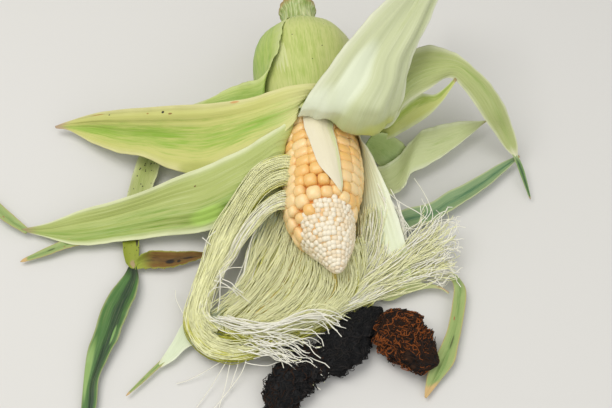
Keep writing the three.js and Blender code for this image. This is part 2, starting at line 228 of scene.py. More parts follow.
def sheet_place(tree):
    """The place on a sheet or tube, and its share across and along it."""
    place = add_node(tree, "ShaderNodeUVMap", uv_map="UVMap").outputs[0]
    split = add_node(tree, "ShaderNodeSeparateXYZ", {0: place}).outputs
    return place, Number(tree, split[0]), Number(tree, split[1])


def new_finish(name, roughness, colour=None, **shader):
    """A material, its node tree and its shader, with the shader's plain numbers and colour set."""
    material = bpy.data.materials.new(name)
    material.use_nodes = True
    tree = material.node_tree
    principled = tree.nodes["Principled BSDF"]
    principled.inputs["Roughness"].default_value = roughness
    if colour:
        principled.inputs["Base Color"].default_value = tint(colour)
    for key, value in shader.items():
        principled.inputs[key.replace("_", " ")].default_value = value
    return material, tree, principled


def add_relief(tree, principled, height, distance):
    inputs = {"Height": height, "Distance": distance * MM, "Strength": 1.0}
    bump = add_node(tree, "ShaderNodeBump", inputs)
    tree.links.new(bump.outputs[0], principled.inputs["Normal"])


def new_piece(name, points, faces, materials, uvs=None):
    """A mesh object in the frame's metres, from points in millimetres and a UV for each."""
    mesh = bpy.data.meshes.new(name)
    mesh.from_pydata(placed(points).tolist(), [], faces)
    mesh.polygons.foreach_set("use_smooth", [True] * len(mesh.polygons))
    for material in materials:
        mesh.materials.append(material)
    if uvs is not None:
        corners = np.zeros(len(mesh.loops), int)
        mesh.loops.foreach_get("vertex_index", corners)
        layer = mesh.uv_layers.new(name="UVMap")
        layer.data.foreach_set("uv", np.asarray(uvs, float)[corners].ravel())
    mesh.update()
    return new_object(name, mesh)


def grid_faces(rows, columns, closed=False, start=0):
    """The faces of a grid of points that is given row by row. A closed one joins its row's ends."""
    faces = []
    for i in range(rows - 1):
        for j in range(columns if closed else columns - 1):
            a = start + i * columns + j
            b = start + i * columns + (j + 1) % columns
            faces.append((a, b, b + columns, a + columns))
    return faces


def tube_faces(rings, sides):
    """The faces of a tube of rings of points, closed by a flat face at each end."""
    faces = grid_faces(rings, sides, closed=True)
    faces.append(tuple(reversed(range(sides))))
    faces.append(tuple(range((rings - 1) * sides, rings * sides)))
    return faces


def facing_out(points, faces):
    """The faces of a closed body, turned to face outwards."""
    p = np.asarray(points, float)
    p = p - p.mean(0)
    volume = 0.0
    for face in faces:
        for k in range(1, len(face) - 1):
            volume += np.dot(p[face[0]], np.cross(p[face[k]], p[face[k + 1]]))
    return faces if volume > 0 else [tuple(reversed(face)) for face in faces]


def fit(piece, slot, *nodes):
    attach(piece, "root")
    if nodes:
        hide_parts(*nodes)


# A seam finish: painted shade for the crevices between the kernels, mottled between a deeper and a
# lighter tone.
def seams(name, deep, light):
    material, tree, shader = new_finish(name, 0.5, Subsurface_Weight=0.2, Subsurface_Scale=0.002)
    place = object_place(tree)
    patch = noise(tree, place, 260)
    colour = mix_colours(band(patch, 0.35, 0.7), tint(deep), tint(light))
    tree.links.new(colour, shader.inputs["Base Color"])
    add_relief(tree, shader, noise(tree, place, 900), 0.2)
    return material


def tip_limit(angle):
    """How far from the point the white tip reaches. It is slanted, and shortest on the left."""
    limit = TIP_MIDDLE + TIP_SLANT_RIGHT * math.cos(angle) + TIP_SLANT_UP * math.sin(angle)
    return max(TIP_SHORTEST, limit)


def cob_distance(ring):
    """Where a ring of the cob lies. The rings are closer together at the tip."""
    return COB_START + (COB_END - COB_START) * (ring / (COB_RINGS - 1)) ** 1.3


def cob_points():
    points = []
    for ring in range(COB_RINGS):
        distance = cob_distance(ring)
        shrink = COB_TAPER * max(0, (distance - COB_TAPER_AT) / (COB_END - COB_TAPER_AT)) ** 2
        for k in range(COB_SIDES):
            angle = FULL_TURN * k / COB_SIDES
            filled = min(1, max(0, (distance - tip_limit(angle) - 1) / 6))
            depth = COB_CLEAR + KERNEL_DEPTH * filled
            radius = max(COB_LEAST, ear_radius(distance) - depth - shrink)
            points.append(around_ear(distance, radius, angle))
    return points


cob_mesh = cob_points()
cob_faces = facing_out(cob_mesh, tube_faces(COB_RINGS, COB_SIDES))
# Both seam colours are painted shade: deep orange between the filled kernels, paler between the
# white tip kernels.
kernel_seam_shade = seams("kernel_seam_shade", "cf7a26", "e39a4c")
tip_seam_shade = seams("tip_seam_shade", "e0b277", "edcb9b")
cob = new_piece("cob", cob_mesh, cob_faces, [kernel_seam_shade, tip_seam_shade])
for face in cob.data.polygons[: (COB_RINGS - 1) * COB_SIDES]:
    ring, side = divmod(face.index, COB_SIDES)
    face.material_index = int(cob_distance(ring) < tip_limit(FULL_TURN * side / COB_SIDES))
fit(cob, "kernel")

# The kernels
# Plump kernels with a thin glossy skin, in rows that are pressed against each other. Those at the
# edge of the tip had room, and are round. At the tip they never filled and are small and white.
KERNEL_ROWS = 16
KERNEL_PITCH = 6.2
KERNELS_END = 108
SMALL_PITCH = 2.7
SMALL_WIDTH = 2.95
SMALL_END = 38
RING_STEP = 0.05
ROUND_SINK = 2.5
ROUND_HIGH = 4.2
ROUND_NEAR = 13
# The round kernels at the tip's edge: how far from the point, at which angle, and their radius.
ROUND_KERNELS = [
    (40.8, 103, 4.4), (38.1, 125, 4.2), (45.3, 129, 3.7), (40.5, 82, 3.6), (31.3, 115, 3.6),
    (35.8, 148, 3.2), (29.3, 138, 3.1), (48.7, 89, 3.6), (49.9, 110, 4.0), (51.3, 127, 3.6),
    (38.8, 50, 3.8), (45.0, 50, 3.5), (47.5, 70, 3.5), (41.5, 66, 3.3),
]
kernel_random = np.random.default_rng(11)


def seat_on_ear(distance, angle, sink):
    """The place and the three axes of a kernel whose middle is sunk under the ear's surface."""
    out = EAR_RIGHT * math.cos(angle) + EAR_UP * math.sin(angle)
    around = -EAR_RIGHT * math.sin(angle) + EAR_UP * math.cos(angle)
    ahead = axis_point(distance + 0.5) - axis_point(distance - 0.5)
    ahead = unit(ahead + out * (ear_radius(distance + 0.5) - ear_radius(distance - 0.5)))
    normal = unit(np.cross(around, ahead))
    if np.dot(normal, out) < 0:
        around, normal = -around, -normal
    place = around_ear(distance, ear_radius(distance), angle) - normal * sink
    return place, (around, ahead, normal)


def skin(name, colour, roughness, coat, glow=0.15):
    """The skin of a kernel. Its colour is plain, and kernels differ by which skin they get."""
    return new_finish(
        name, roughness, colour, Subsurface_Weight=glow, Subsurface_Scale=0.0012,
        Subsurface_Radius=(1.0, 0.6, 0.3), Coat_Weight=coat, Coat_Roughness=0.2,
    )[0]


def geometry_tree(name, **inputs):
    """A geometry tree, and the sockets that give it its geometry and the named inputs."""
    tree = bpy.data.node_groups.new(name, "GeometryNodeTree")
    kinds = {"Geometry": "Geometry", **inputs}
    for key, kind in kinds.items():
        tree.interface.new_socket(key, in_out="INPUT", socket_type="NodeSocket" + kind)
    tree.interface.new_socket("Geometry", in_out="OUTPUT", socket_type="NodeSocketGeometry")
    return tree, tree.nodes.new("NodeGroupInput").outputs


def attribute(tree, name, kind):
    inputs = {"Name": name}
    return add_node(tree, "GeometryNodeInputNamedAttribute", inputs, data_type=kind).outputs[0]


def end_tree(tree, geometry, finish):
    """Makes the geometry plain and smooth, gives it its finish and puts it out."""
    geometry = add_node(tree, "GeometryNodeRealizeInstances", {0: geometry}).outputs[0]
    geometry = add_node(tree, "GeometryNodeSetShadeSmooth", {0: geometry}).outputs[0]
    inputs = {0: geometry, "Material": finish}
    geometry = add_node(tree, "GeometryNodeSetMaterial", inputs).outputs[0]
    tree.links.new(geometry, tree.nodes.new("NodeGroupOutput").inputs[0])
    return tree


def kernel_tree():
    """Puts a rounded block on each point, turned and sized by the point's attributes."""
    tree, given = geometry_tree(
        "kernels_on_the_cob", Squareness="Float", Corners="Int", Finish="Material"
    )
    points, squareness, corners, finish = given[:4]
    cube = {f"Vertices {axis}": corners for axis in "XYZ"}
    block = add_node(tree, "GeometryNodeMeshCube", {"Size": (2, 2, 2), **cube}).outputs[0]
    at = add_node(tree, "GeometryNodeInputPosition").outputs[0]
    split = add_node(tree, "ShaderNodeSeparateXYZ", {0: at}).outputs
    powers = [abs(Number(tree, socket)) ** squareness for socket in split[:3]]
    reach = (powers[0] + powers[1] + powers[2]) ** (1.0 / Number(tree, squareness))
    shrink = {0: at, "Scale": 1.0 / reach}
    rounded = add_node(tree, "ShaderNodeVectorMath", shrink, operation="SCALE").outputs[0]
    move = {"Geometry": block, "Position": rounded}
    seat = {
        "Points": points,
        "Instance": add_node(tree, "GeometryNodeSetPosition", move).outputs[0],
        "Rotation": attribute(tree, "turn", "FLOAT_VECTOR"),
        "Scale": attribute(tree, "size", "FLOAT_VECTOR"),
    }
    kernels = add_node(tree, "GeometryNodeInstanceOnPoints", seat).outputs[0]
    return end_tree(tree, kernels, finish)


def grown(name, points, edges, attributes, tree, values):
    """A plain mesh piece that a geometry tree makes from points and edges with attributes."""
    seed_mesh = bpy.data.meshes.new(name + "_points")
    seed_mesh.from_pydata(placed(points).tolist(), edges, [])
    for key, numbers in attributes.items():
        numbers = np.asarray(numbers, np.float32)
        wide = numbers.ndim == 2
        layer = seed_mesh.attributes.new(key, "FLOAT_VECTOR" if wide else "FLOAT", "POINT")
        layer.data.foreach_set("vector" if wide else "value", numbers.ravel())
    seeds = new_object(name + "_points", seed_mesh)
    modifier = seeds.modifiers.new(name, "NODES")
    modifier.node_group = tree
    for socket in tree.interface.items_tree:
        if socket.in_out == "INPUT" and socket.name in values:
            modifier[socket.identifier] = values[socket.name]
    bpy.context.view_layer.update()
    evaluated = seeds.evaluated_get(bpy.context.evaluated_depsgraph_get())
    mesh = bpy.data.meshes.new_from_object(evaluated)
    mesh.name = name
    piece = new_object(name, mesh)
    bpy.data.objects.remove(seeds)
    bpy.data.meshes.remove(seed_mesh)
    return piece


def kernel_points(seats):
    """Points and attributes from each kernel's distance, angle, sink and half sizes."""
    places, turns, sizes = [], [], []
    for distance, angle, sink, wide, long, high in seats:
        place, axes = seat_on_ear(distance, angle, sink)
        places.append(place)
        turns.append(Matrix(np.array(axes).T.tolist()).to_euler())
        sizes.append((wide * MM, long * MM, high * MM))
    return places, {"turn": turns, "size": sizes}


def large_seats():
    """The filled kernels. Those near the tip's edge are rounder, taller and farther apart."""
    seats = []
    for distance, degrees, radius in ROUND_KERNELS:
        seats.append((distance, math.radians(degrees), ROUND_SINK, radius, radius, ROUND_HIGH))
    for row in range(KERNEL_ROWS):
        angle = FULL_TURN * (row + 0.5) / KERNEL_ROWS
        distance = tip_limit(angle) + 0.8 + kernel_random.normal(0, 0.7)
        rank = 0
        for at, degrees, radius in ROUND_KERNELS:
            if abs(math.degrees(angle) - degrees) < ROUND_NEAR:
                distance = max(distance, at + 0.86 * radius)
                rank = 1
        while distance < KERNELS_END:
            roundness = max(0, 1 - rank / 2.5)
            pitch = KERNEL_PITCH + 1.7 * roundness + kernel_random.normal(0, 0.22)
            distance += pitch / 2
            wide = math.pi * ear_radius(distance) / KERNEL_ROWS * (1.15 - 0.07 * roundness)
            high = 3.2 + 0.8 * roundness
            sway = kernel_random.normal(0, 0.014 + 0.02 * roundness)
            sink = high - 0.85 - 0.6 * roundness + kernel_random.normal(0, 0.15)
            size = kernel_random.normal(1, 0.03)
            seats.append((distance, angle + sway, sink, wide * size, pitch / 2 * 1.17, high))
            distance += pitch / 2
            rank += 1
    return seats


def ring_after(distance, pitch):
    """The distance along the axis that lies a pitch farther over the ear's surface."""
    walked = 0.0
    while walked < pitch:
        rise = ear_radius(distance + RING_STEP) - ear_radius(distance)
        walked += math.hypot(RING_STEP, rise)
        distance += RING_STEP
    return distance


def small_seats():
    """The unfilled kernels of the tip, in rings that start at its point."""
    seats = []
    distance = 0.05
    ring = 0
    while distance < SMALL_END:
        radius = ear_radius(distance)
        count = max(3, round(FULL_TURN * radius / SMALL_WIDTH))
        swell = 0.76 + 0.24 * min(1, distance / 14)
        for k in range(count):
            angle = FULL_TURN * (k + 0.5 * (ring % 2)) / count + kernel_random.normal(0, 0.035)
            at = distance + kernel_random.normal(0, 0.25) * min(1, distance)
            if at > tip_limit(angle) + 2.0:
                continue
            half = max(1.2, math.pi * radius / count * kernel_random.normal(1.26, 0.1))
            high = 1.8 * swell * kernel_random.normal(1, 0.1)
            seats.append((at, angle, high * 0.64, half, SMALL_PITCH / 2 * swell * 1.36, high))
        distance = ring_after(distance, SMALL_PITCH * swell)
        ring += 1
    return seats


def kernel_pieces(name, seats, skins, slot, node, squareness, corners):
    """Deals the kernels out to the skins by chance, one piece for each skin."""
    dealt = kernel_random.integers(0, len(skins), len(seats))
    for k, finish in enumerate(skins):
        points, attributes = kernel_points([seat for seat, hand in zip(seats, dealt) if hand == k])
        values = {"Squareness": squareness, "Corners": corners, "Finish": finish}
        fit(grown(f"{name}_{k + 1}", points, [], attributes, kernels_on_cob, values), slot, node)


kernels_on_cob = kernel_tree()
peach_skins = [
    skin("kernel_skin_peach", "f2cb8b", 0.3, 0.25),
    skin("kernel_skin_gold", "efc074", 0.3, 0.25),
    skin("kernel_skin_pale", "f4d59c", 0.32, 0.25),
]
white_skins = [
    skin("tip_skin_white", "f1e7d0", 0.4, 0.1, 0),
    skin("tip_skin_cream", "ecdbbc", 0.4, 0.1, 0),
]
kernel_pieces("kernels", large_seats(), peach_skins, "kernel", "ear_kernels", 3.0, 5)
kernel_pieces("tip_kernels", small_seats(), white_skins, "small_kernel", "ear_tip", 2.6, 3)

# The closed husks
# Round the butt the husks are still closed: thin ribbed leaves that overlap each other like scales
# and grow from the end of the stalk. Their edges step over the next ones.
SHELL_ALONG = 38
SHELL_ACROSS = 56
SHELL_THICK = 0.8
SHELL_RIBS = 26
WRAP_FROM = WRAP[0][0]
WRAP_TO = WRAP[-1][0]
ANY_PHASE = 6.28


def route_point(route, t):
    """The point at share t of a smooth curve through the route, and the way it runs there."""
    points = np.asarray(route, float)
    spans = len(points) - 1
    place = min(max(t, 0), 1) * spans
    k = min(int(place), spans - 1)
    s = place - k
    before = points[k - 1] if k > 0 else 2 * points[0] - points[1]
    after = points[k + 2] if k + 2 <= spans else 2 * points[-1] - points[-2]
    a, b = points[k], points[k + 1]
    pairs = ((before, a), (a, b), (b, after))
    near, mid, far = (max(np.linalg.norm(q - p) ** 0.5, 1e-4) for p, q in pairs)
    leave = ((a - before) / near - (b - before) / (near + mid) + (b - a) / mid) * mid
    arrive = ((b - a) / mid - (after - a) / (mid + far) + (after - b) / far) * mid
    c2 = 3 * (b - a) - 2 * leave - arrive
    c3 = 2 * (a - b) + leave + arrive
    return a + leave * s + c2 * s * s + c3 * s**3, leave + 2 * c2 * s + 3 * c3 * s * s


def value_at(values, t):
    return float(np.interp(t, np.linspace(0, 1, len(values)), values))


def spot_mask(u, v, size, at_u, at_v, radius, slender):
    """1 inside a mark on a sheet whose sides measure size, in millimetres. It lies at the shares
    u and v, and is that many times longer than wide."""
    across = (u - at_u) * size[0]
    along = (v - at_v) * (size[1] / slender)
    return band(across**2.0 + along**2.0, radius**2, (radius * 0.45) ** 2)


def husk_finish(
    name, pale, green, rim="e3e6c4", tip="a08a5c", green_at=0.5, green_wide=0.5, green_share=0.5,
    ribs=14, tip_from=0.94, root="", root_to=0.2, speck_share=0.0, size=(40, 180), spots=(),
    roughness=0.5, rim_wide=0.16,
):
    """A veined leaf: streaks of green along it, pale edges, a withered point, specks and marks."""
    material, tree, shader = new_finish(name, roughness, Sheen_Weight=0.05)
    place, u, v = sheet_place(tree)
    streak = noise(tree, stretched(tree, place, (ribs * 1.1, 2.6, 1)), 1.0, 4, 0.62)
    dashes = noise(tree, stretched(tree, place, (ribs * 2.2, 12, 1)), 1.0, 3, 0.6)
    fine = noise(tree, stretched(tree, place, (ribs * 5.0, 5.0, 1)), 1.0, 2, 0.5)
    cloud = noise(tree, stretched(tree, place, (2.2, 4.0, 1)), 1.0, 2)
    amount = band(abs(u - green_at), green_wide, 0.0) * green_share
    amount = amount + cloud * 0.3 + streak * 0.55 + dashes * 0.45
    colour = mix_colours(band(amount, 0.74, 1.12), tint(pale), tint(green))
    colour = mix_colours(band(fine, 0.5, 0.78) * 0.3, colour, tint(rim))
    edge = abs(u - 0.5) + streak * 0.06
    colour = mix_colours(band(edge, 0.53 - rim_wide, 0.53) * 0.8, colour, tint(rim))
    if root:
        near_root = band(v + streak * 0.12, root_to + 0.06, 0.06)
        colour = mix_colours(near_root, colour, tint(root))
    near_tip = band(v + (streak - 0.5) * 0.08, tip_from, tip_from + 0.05)
    colour = mix_colours(near_tip, colour, tint(tip))
    if speck_share:
        grid = stretched(tree, place, (size[0] / 2, size[1] / 2, 1))
        cells = add_node(tree, "ShaderNodeTexVoronoi", {"Vector": grid, "Scale": 1.0}).outputs
        chosen = add_node(tree, "ShaderNodeSeparateColor", {0: cells["Color"]}).outputs[0]
        dot = band(Number(tree, cells["Distance"]), 0.34, 0.2)
        picked = band(Number(tree, chosen), speck_share + 0.02, speck_share)
        colour = mix_colours(dot * picked * 0.9, colour, tint("2a2412"))
    for *mark, mark_colour in spots:
        colour = mix_colours(spot_mask(u, v, size, *mark), colour, tint(mark_colour))
    tree.links.new(colour, shader.inputs["Base Color"])
    tree.links.new((fine * 0.2 + (roughness - 0.1)).socket, shader.inputs["Roughness"])
    add_relief(tree, shader, fine + streak, 0.14)
    return material


def sheet_piece(name, inner, outer, finish, along=None):
    """A thin closed leaf from two grids of points, its inner and its outer side."""
    rows, columns = inner.shape[:2]
    points = np.concatenate([inner.reshape(-1, 3), outer.reshape(-1, 3)])
    half = rows * columns
    faces = grid_faces(rows, columns)
    faces += [tuple(reversed(face)) for face in grid_faces(rows, columns, start=half)]
    border = list(range(columns))
    border += [i * columns + columns - 1 for i in range(1, rows)]
    border += [(rows - 1) * columns + j for j in range(columns - 2, -1, -1)]
    border += [i * columns for i in range(rows - 2, 0, -1)]
    for a, b in zip(border, border[1:] + border[:1]):
        faces.append((b, a, a + half, b + half))
    along = np.linspace(0, 1, rows) if along is None else along
    shares = [(j / (columns - 1), along[i]) for i in range(rows) for j in range(columns)]
    return new_piece(name, points, facing_out(points, faces), [finish], shares + shares)


def profile_at(profile, t):
    """The distance along the ear and the radius, at share t of a smooth profile."""
    return route_point([(distance, radius, 0) for distance, radius in profile], t)[0][:2]


def shell_piece(name, middle, span, rim, lift, finish, seed):
    """One closed husk: from the stalk over the butt to a rim whose outline is curved."""
    phase = np.random.default_rng(seed).uniform(0, ANY_PHASE, 6)
    inner = np.zeros((SHELL_ALONG, SHELL_ACROSS, 3))
    outer = np.zeros_like(inner)
    for i in range(SHELL_ALONG):
        t = (1 - i / (SHELL_ALONG - 1)) ** 1.15
        along = 1 - t
        for j in range(SHELL_ACROSS):
            share = 2 * j / (SHELL_ACROSS - 1) - 1
            side = abs(share)
            angle = math.radians(middle + share * span)
            reach = rim + 14 * side**2.5 + 1.5 * math.sin(5 * share + phase[0])
            start = (reach - WRAP_FROM) / (WRAP_TO - WRAP_FROM)
            distance, radius = profile_at(WRAP, max(0, start) + (1 - max(0, start)) * t)
            ahead = min(0, start) * (WRAP_TO - WRAP_FROM) * along**2
            distance = min(distance, WRAP_TO) + ahead
            rib = 0.17 * math.cos(SHELL_RIBS * math.pi * share + phase[1])
            rib += 0.1 * math.cos(2.3 * SHELL_RIBS * math.pi * share + phase[2])
            wave = 0.45 * math.sin(3 * angle + 5 * along + phase[3])
            wave += 0.3 * math.sin(7 * angle + phase[4])
            wave += 2.5 * max(0, side - 0.8) * math.sin(9 * along + phase[5])
            edge = 1 - 7.5 * max(0, side - 0.9)
            raised = lift * (0.25 + 0.75 * min(1, along * 6))
            base = radius + raised + rib + wave * min(1, along * 4)
            outer[i, j] = around_ear(distance, base, angle)
            inner[i, j] = around_ear(distance, base - SHELL_THICK * edge, angle)
    return sheet_piece(name, inner, outer, finish)


closed_green = husk_finish(
    "closed_husk_green", "c6cc80", "9fb44e", rim="d6daa4", green_share=0.25, green_wide=0.7,
    ribs=40, tip="dfe4be", tip_from=0.97, size=(110, 100), speck_share=0.01, rim_wide=0.05,
)
closed_pale = husk_finish(
    "closed_husk_pale", "ccd292", "aebd68", rim="dadfba", green_share=0.2, green_wide=0.7, ribs=40,
    tip="e6e9cb", tip_from=0.97, size=(110, 100), rim_wide=0.06,
)
# Each closed husk's middle angle, half its span, rim, lift over the profile, finish and seed.
shells = [
    ("closed_husk_core", 90, 181, 92, -2.6, closed_pale, 3),
    ("closed_husk_under", 275, 74, 104, -1.5, closed_green, 6),
    ("closed_husk_right", 330, 60, 99, -0.8, closed_pale, 4),
    ("closed_husk_left", 212, 62, 96, -0.6, closed_green, 5),
    ("closed_husk_right_side", 22, 58, 97, 0.0, closed_green, 8),
    ("closed_husk_left_side", 163, 54, 93, 0.2, closed_pale, 9),
    ("closed_husk_over", 92, 68, 95, 1.1, closed_green, 7),
]
for shell in shells:
    fit(shell_piece(*shell), "outer_husk", "closed_husks")

# The shank
# The cut end of the short stalk that bore the ear: a ribbed, fibrous stub with a joint at each end
# where husks grew, and a pale pithy cut.
SHANK = [
    (186, 12.4), (188, 13.2), (191, 13.8), (194, 11.8), (199, 11.1), (205, 11.2), (208, 12.6),
    (213.6, 12),
]
SHANK_SIDES = 96
SHANK_STEPS = 40
# The rings of the cut face: how far each stands out, and its share of the stub's radius.
SHANK_CUT = [(0.2, 0.93), (-0.5, 0.7), (-0.2, 0.35)]

shank_finish, tree, shader = new_finish(
    "shank_fibre", 0.6, Subsurface_Weight=0.1, Subsurface_Scale=0.002
)
place, _, along = sheet_place(tree)
grain = noise(tree, stretched(tree, place, (60, 3, 1)), 1.0, 4)
shank_colour = mix_colours(band(grain, 0.35, 0.7), tint("8ca052"), tint("cfd6a0"))
shank_colour = mix_colours(band(along, 0.8, 0.97), shank_colour, tint("a58f55"))
tree.links.new(shank_colour, shader.inputs["Base Color"])
add_relief(tree, shader, grain, 0.5)
cut_finish, tree, shader = new_finish("shank_cut", 0.75)
pith = noise(tree, object_place(tree), 900, 4)
tree.links.new(mix_colours(pith, tint("b99f62"), tint("efe6c4")), shader.inputs["Base Color"])
add_relief(tree, shader, pith, 0.4)

points, shares = [], []
for i in range(SHANK_STEPS):
    distance, radius = profile_at(SHANK, i / (SHANK_STEPS - 1))
    for k in range(SHANK_SIDES):
        angle = FULL_TURN * k / SHANK_SIDES
        rib = 0.28 * math.cos(16 * angle) + 0.16 * math.cos(37 * angle + 0.1 * i)
        points.append(around_ear(distance, radius + rib, angle))
        shares.append((k / SHANK_SIDES, i / (SHANK_STEPS - 1)))
faces = grid_faces(SHANK_STEPS, SHANK_SIDES, closed=True)
side_count = len(faces)
last = (SHANK_STEPS - 1) * SHANK_SIDES
for depth, size in SHANK_CUT:
    for k in range(SHANK_SIDES):
        angle = FULL_TURN * k / SHANK_SIDES
        points.append(around_ear(SHANK[-1][0] + depth, SHANK[-1][1] * size, angle))
        shares.append((k / SHANK_SIDES, 1.0))
    faces += grid_faces(2, SHANK_SIDES, closed=True, start=last)
    last += SHANK_SIDES
faces.append(tuple(range(last, last + SHANK_SIDES)))
faces.append(tuple(reversed(range(SHANK_SIDES))))
faces = facing_out(points, faces)
shank = new_piece("shank_stub", points, faces, [shank_finish, cut_finish], shares)
for face in shank.data.polygons:
    face.material_index = int(side_count <= face.index < len(faces) - 1)
fit(shank, "shank", "shank")

# The opened husks
# Long thin leaves with parallel veins, pulled back from the ear. Outside ones are green and stiff,
# inner ones pale and soft. Each runs from its root in the closed husks to a point.
GROUND_CLEAR = 0.3
RUFFLES = 7
RELIEF_WIDTH = 24
# What a leaf has unless its entry says otherwise.
PLAIN_LEAF = dict(ribs=11, rib_rise=0.09, ruffle=0.8, thick=0.7, folds=())


def leaf_frame(husk, t):
    """The place of a leaf at share t of its route, and the ways its side and its face point."""
    at, along = route_point(husk["route"], t)
    along = unit(along)
    lean = math.radians(value_at(husk["lean"], t))
    side = unit(np.array([along[1], -along[0], 0]))
    side = side * math.cos(lean) + np.cross(along, side) * math.sin(lean)
    side = unit(side - along * np.dot(side, along))
    return at, side, np.cross(side, along)


def route_section(husk, t, share):
    """The leaf's section at share t of its route: an arc of its width, bent and turned there."""
    at, side, face = leaf_frame(husk, t)
    width = value_at(husk["width"], t) * min(1, ((1 - t) / 0.05 + 0.04)) ** 0.55
    bend = math.radians(value_at(husk["bend"], t)) + 1e-3
    turn = share * bend / 2
    middle = at + np.outer(width / bend * np.sin(turn), side)
    return middle + np.outer(width / bend * (1 - np.cos(turn)), face)


def smooth_through(control, places):
    """Rows of points on a smooth surface through rows of control points."""
    control = np.asarray(control, float)
    rows = [2 * control[:1] - control[1:2], control, 2 * control[-1:] - control[-2:-1]]
    padded = np.concatenate(rows)
    k = np.clip(places.astype(int), 0, len(control) - 2)
    s = (places - k).reshape((-1,) + (1,) * (control.ndim - 1))
    a, b, c, d = (padded[k + i] for i in range(4))
    curve = 2 * b + (c - a) * s + (2 * a - 5 * b + 4 * c - d) * s**2
    return 0.5 * (curve + (3 * b - a - 3 * c + d) * s**3)


def spread_over(control, count):
    """That many rows at even places on a smooth surface through the control points."""
    return smooth_through(control, np.linspace(0, len(control) - 1, count))


def leaf_middle(husk):
    """The leaf's middle surface, row by row, along its route or through its sections."""
    rows, columns = husk["rows"], husk["columns"]
    if "route" in husk:
        share = np.linspace(-1, 1, columns)
        return np.array([route_section(husk, t, share) for t in np.linspace(0, 1, rows)])
    return spread_over([spread_over(section, columns) for section in husk["sections"]], rows)


def leaf_piece(husk):
    """A curved strip with veins, soft folds and a wavy edge, hollow on its inner face."""
    husk = {**PLAIN_LEAF, **husk}
    phase = np.random.default_rng(husk["seed"]).uniform(0, FULL_TURN, 6)
    middle = leaf_middle(husk)
    columns = husk["columns"]
    run = np.linalg.norm(np.diff(middle[:, columns // 2], axis=0), axis=1)
    t = (np.concatenate([[0], np.cumsum(run)]) / run.sum())[:, None]
    share = np.linspace(-1, 1, columns)[None, :]
    normal = np.cross(np.gradient(middle, axis=1), np.gradient(middle, axis=0))
    normal /= np.linalg.norm(normal, axis=2, keepdims=True) + 1e-9
    width = np.linalg.norm(np.diff(middle, axis=1), axis=2).sum(1)
    grow = np.minimum(1, width / RELIEF_WIDTH)[:, None]
    veins = husk["ribs"] * math.pi * share
    rise = np.cos(veins + phase[1]) + 0.5 * np.cos(2.17 * veins + phase[2] + 2 * t)
    waves = np.sin(RUFFLES * FULL_TURN * t + phase[3] + share)
    waves = waves + 0.5 * np.sin(RUFFLES * 4.7 * math.pi * t + phase[5] - share)
    waves = np.abs(share) ** 4 * waves + 0.5 * np.sin(9 * t + 4 * share + phase[4])
    rise = husk["rib_rise"] * rise + husk["ruffle"] * waves
    for fold_at, fold_end, depth, size in husk["folds"]:
        place = fold_at + (fold_end - fold_at) * t
        rise = rise + depth * np.exp(-(((share - place) / size) ** 2))
    middle = middle + normal * (rise * grow)[:, :, None]
    half = normal * (husk["thick"] / 2 * (1 - 0.6 * np.abs(share) ** 3))[:, :, None]
    inner = middle + half
    outer = middle - half
    inner[:, :, 2] = np.maximum(inner[:, :, 2], GROUND_CLEAR + husk["thick"] * 0.4)
    outer[:, :, 2] = np.maximum(outer[:, :, 2], GROUND_CLEAR)
    return sheet_piece(husk["name"] + "_leaf", inner, outer, husk["finish"], t[:, 0])


def hug(distance, clear, degrees):
    """A point on the kernels, that far clear of them."""
    return around_ear(distance, ear_radius(distance) + clear, math.radians(degrees))


def on_wrap(distance, clear, degrees):
    """A point on the closed husks, that far clear of them."""
    radius = np.interp(distance, *zip(*WRAP))
    return around_ear(distance, radius + clear, math.radians(degrees))


inner_pale = husk_finish(
    "inner_husk_pale", "c6cda2", "adb977", rim="e4e7cc", green_share=0.08, green_wide=0.8, ribs=16,
    root="aeb452", root_to=0.31, size=(50, 190), roughness=0.45, rim_wide=0.13,
    spots=[
        (0.1, 0.2, 11.0, 2.4, "dce2c8"), (0.72, 0.16, 13.0, 1.0, "b8be68"),
        (0.3, 0.34, 7.0, 4.0, "d8dfc2"),
    ],
)
strip_pale = husk_finish(
    "kernel_strip_pale", "e4dcc0", "d3d8a2", rim="ebe5d2", green_at=0.98, green_wide=0.3,
    green_share=0.5, ribs=8, tip="ecdfb2", size=(18, 60), roughness=0.4, rim_wide=0.06,
)
left_upper_finish = husk_finish(
    "husk_upper_left_veins", "c5c672", "8cb038", rim="d4cf96", tip="b49a7c", green_at=0.46,
    green_wide=0.46, green_share=0.36, ribs=15, root="d0d08a", root_to=0.22, size=(52, 190),
    rim_wide=0.14,
    spots=[
        (0.9, 0.56, 1.3, 1.0, "17150c"), (0.87, 0.53, 0.9, 2.0, "8a6a2c"),
        (0.89, 0.62, 0.7, 1.6, "a8823c"), (0.9, 0.79, 0.8, 1.0, "3a2c18"),
        (0.05, 0.42, 7.0, 2.4, "b2b660"), (0.93, 0.84, 0.8, 8.0, "b98a3a"),
        (0.97, 0.3, 1.2, 3.0, "cfa060"),
    ],
)
left_lower_finish = husk_finish(
    "husk_lower_left_veins", "aab665", "7a9c32", rim="e0e4bc", tip="a3946a", green_at=0.26,
    green_wide=0.5, green_share=0.3, ribs=17, root="c0c87a", root_to=0.16, size=(58, 190),
    rim_wide=0.14, spots=[(0.73, 0.42, 0.9, 1.0, "6b4a22"), (0.22, 0.36, 9.0, 1.6, "a6c75a")],
)
right_inner_finish = husk_finish(
    "inner_husk_right", "dce4c6", "c8d59c", rim="e8edd6", tip="c3cb8e", green_share=0.05,
    green_wide=0.8, ribs=18, size=(36, 150), roughness=0.45, tip_from=0.66,
    spots=[(0.5, 1.0, 9.0, 1.2, "c39a80")],
)
left_inner_finish = husk_finish(
    "inner_husk_left", "dae4c4", "bfce90", rim="e6ecd2", tip="d8d2ae", green_share=0.1,
    green_wide=0.8, ribs=18, size=(34, 170), roughness=0.45, tip_from=0.97,
)
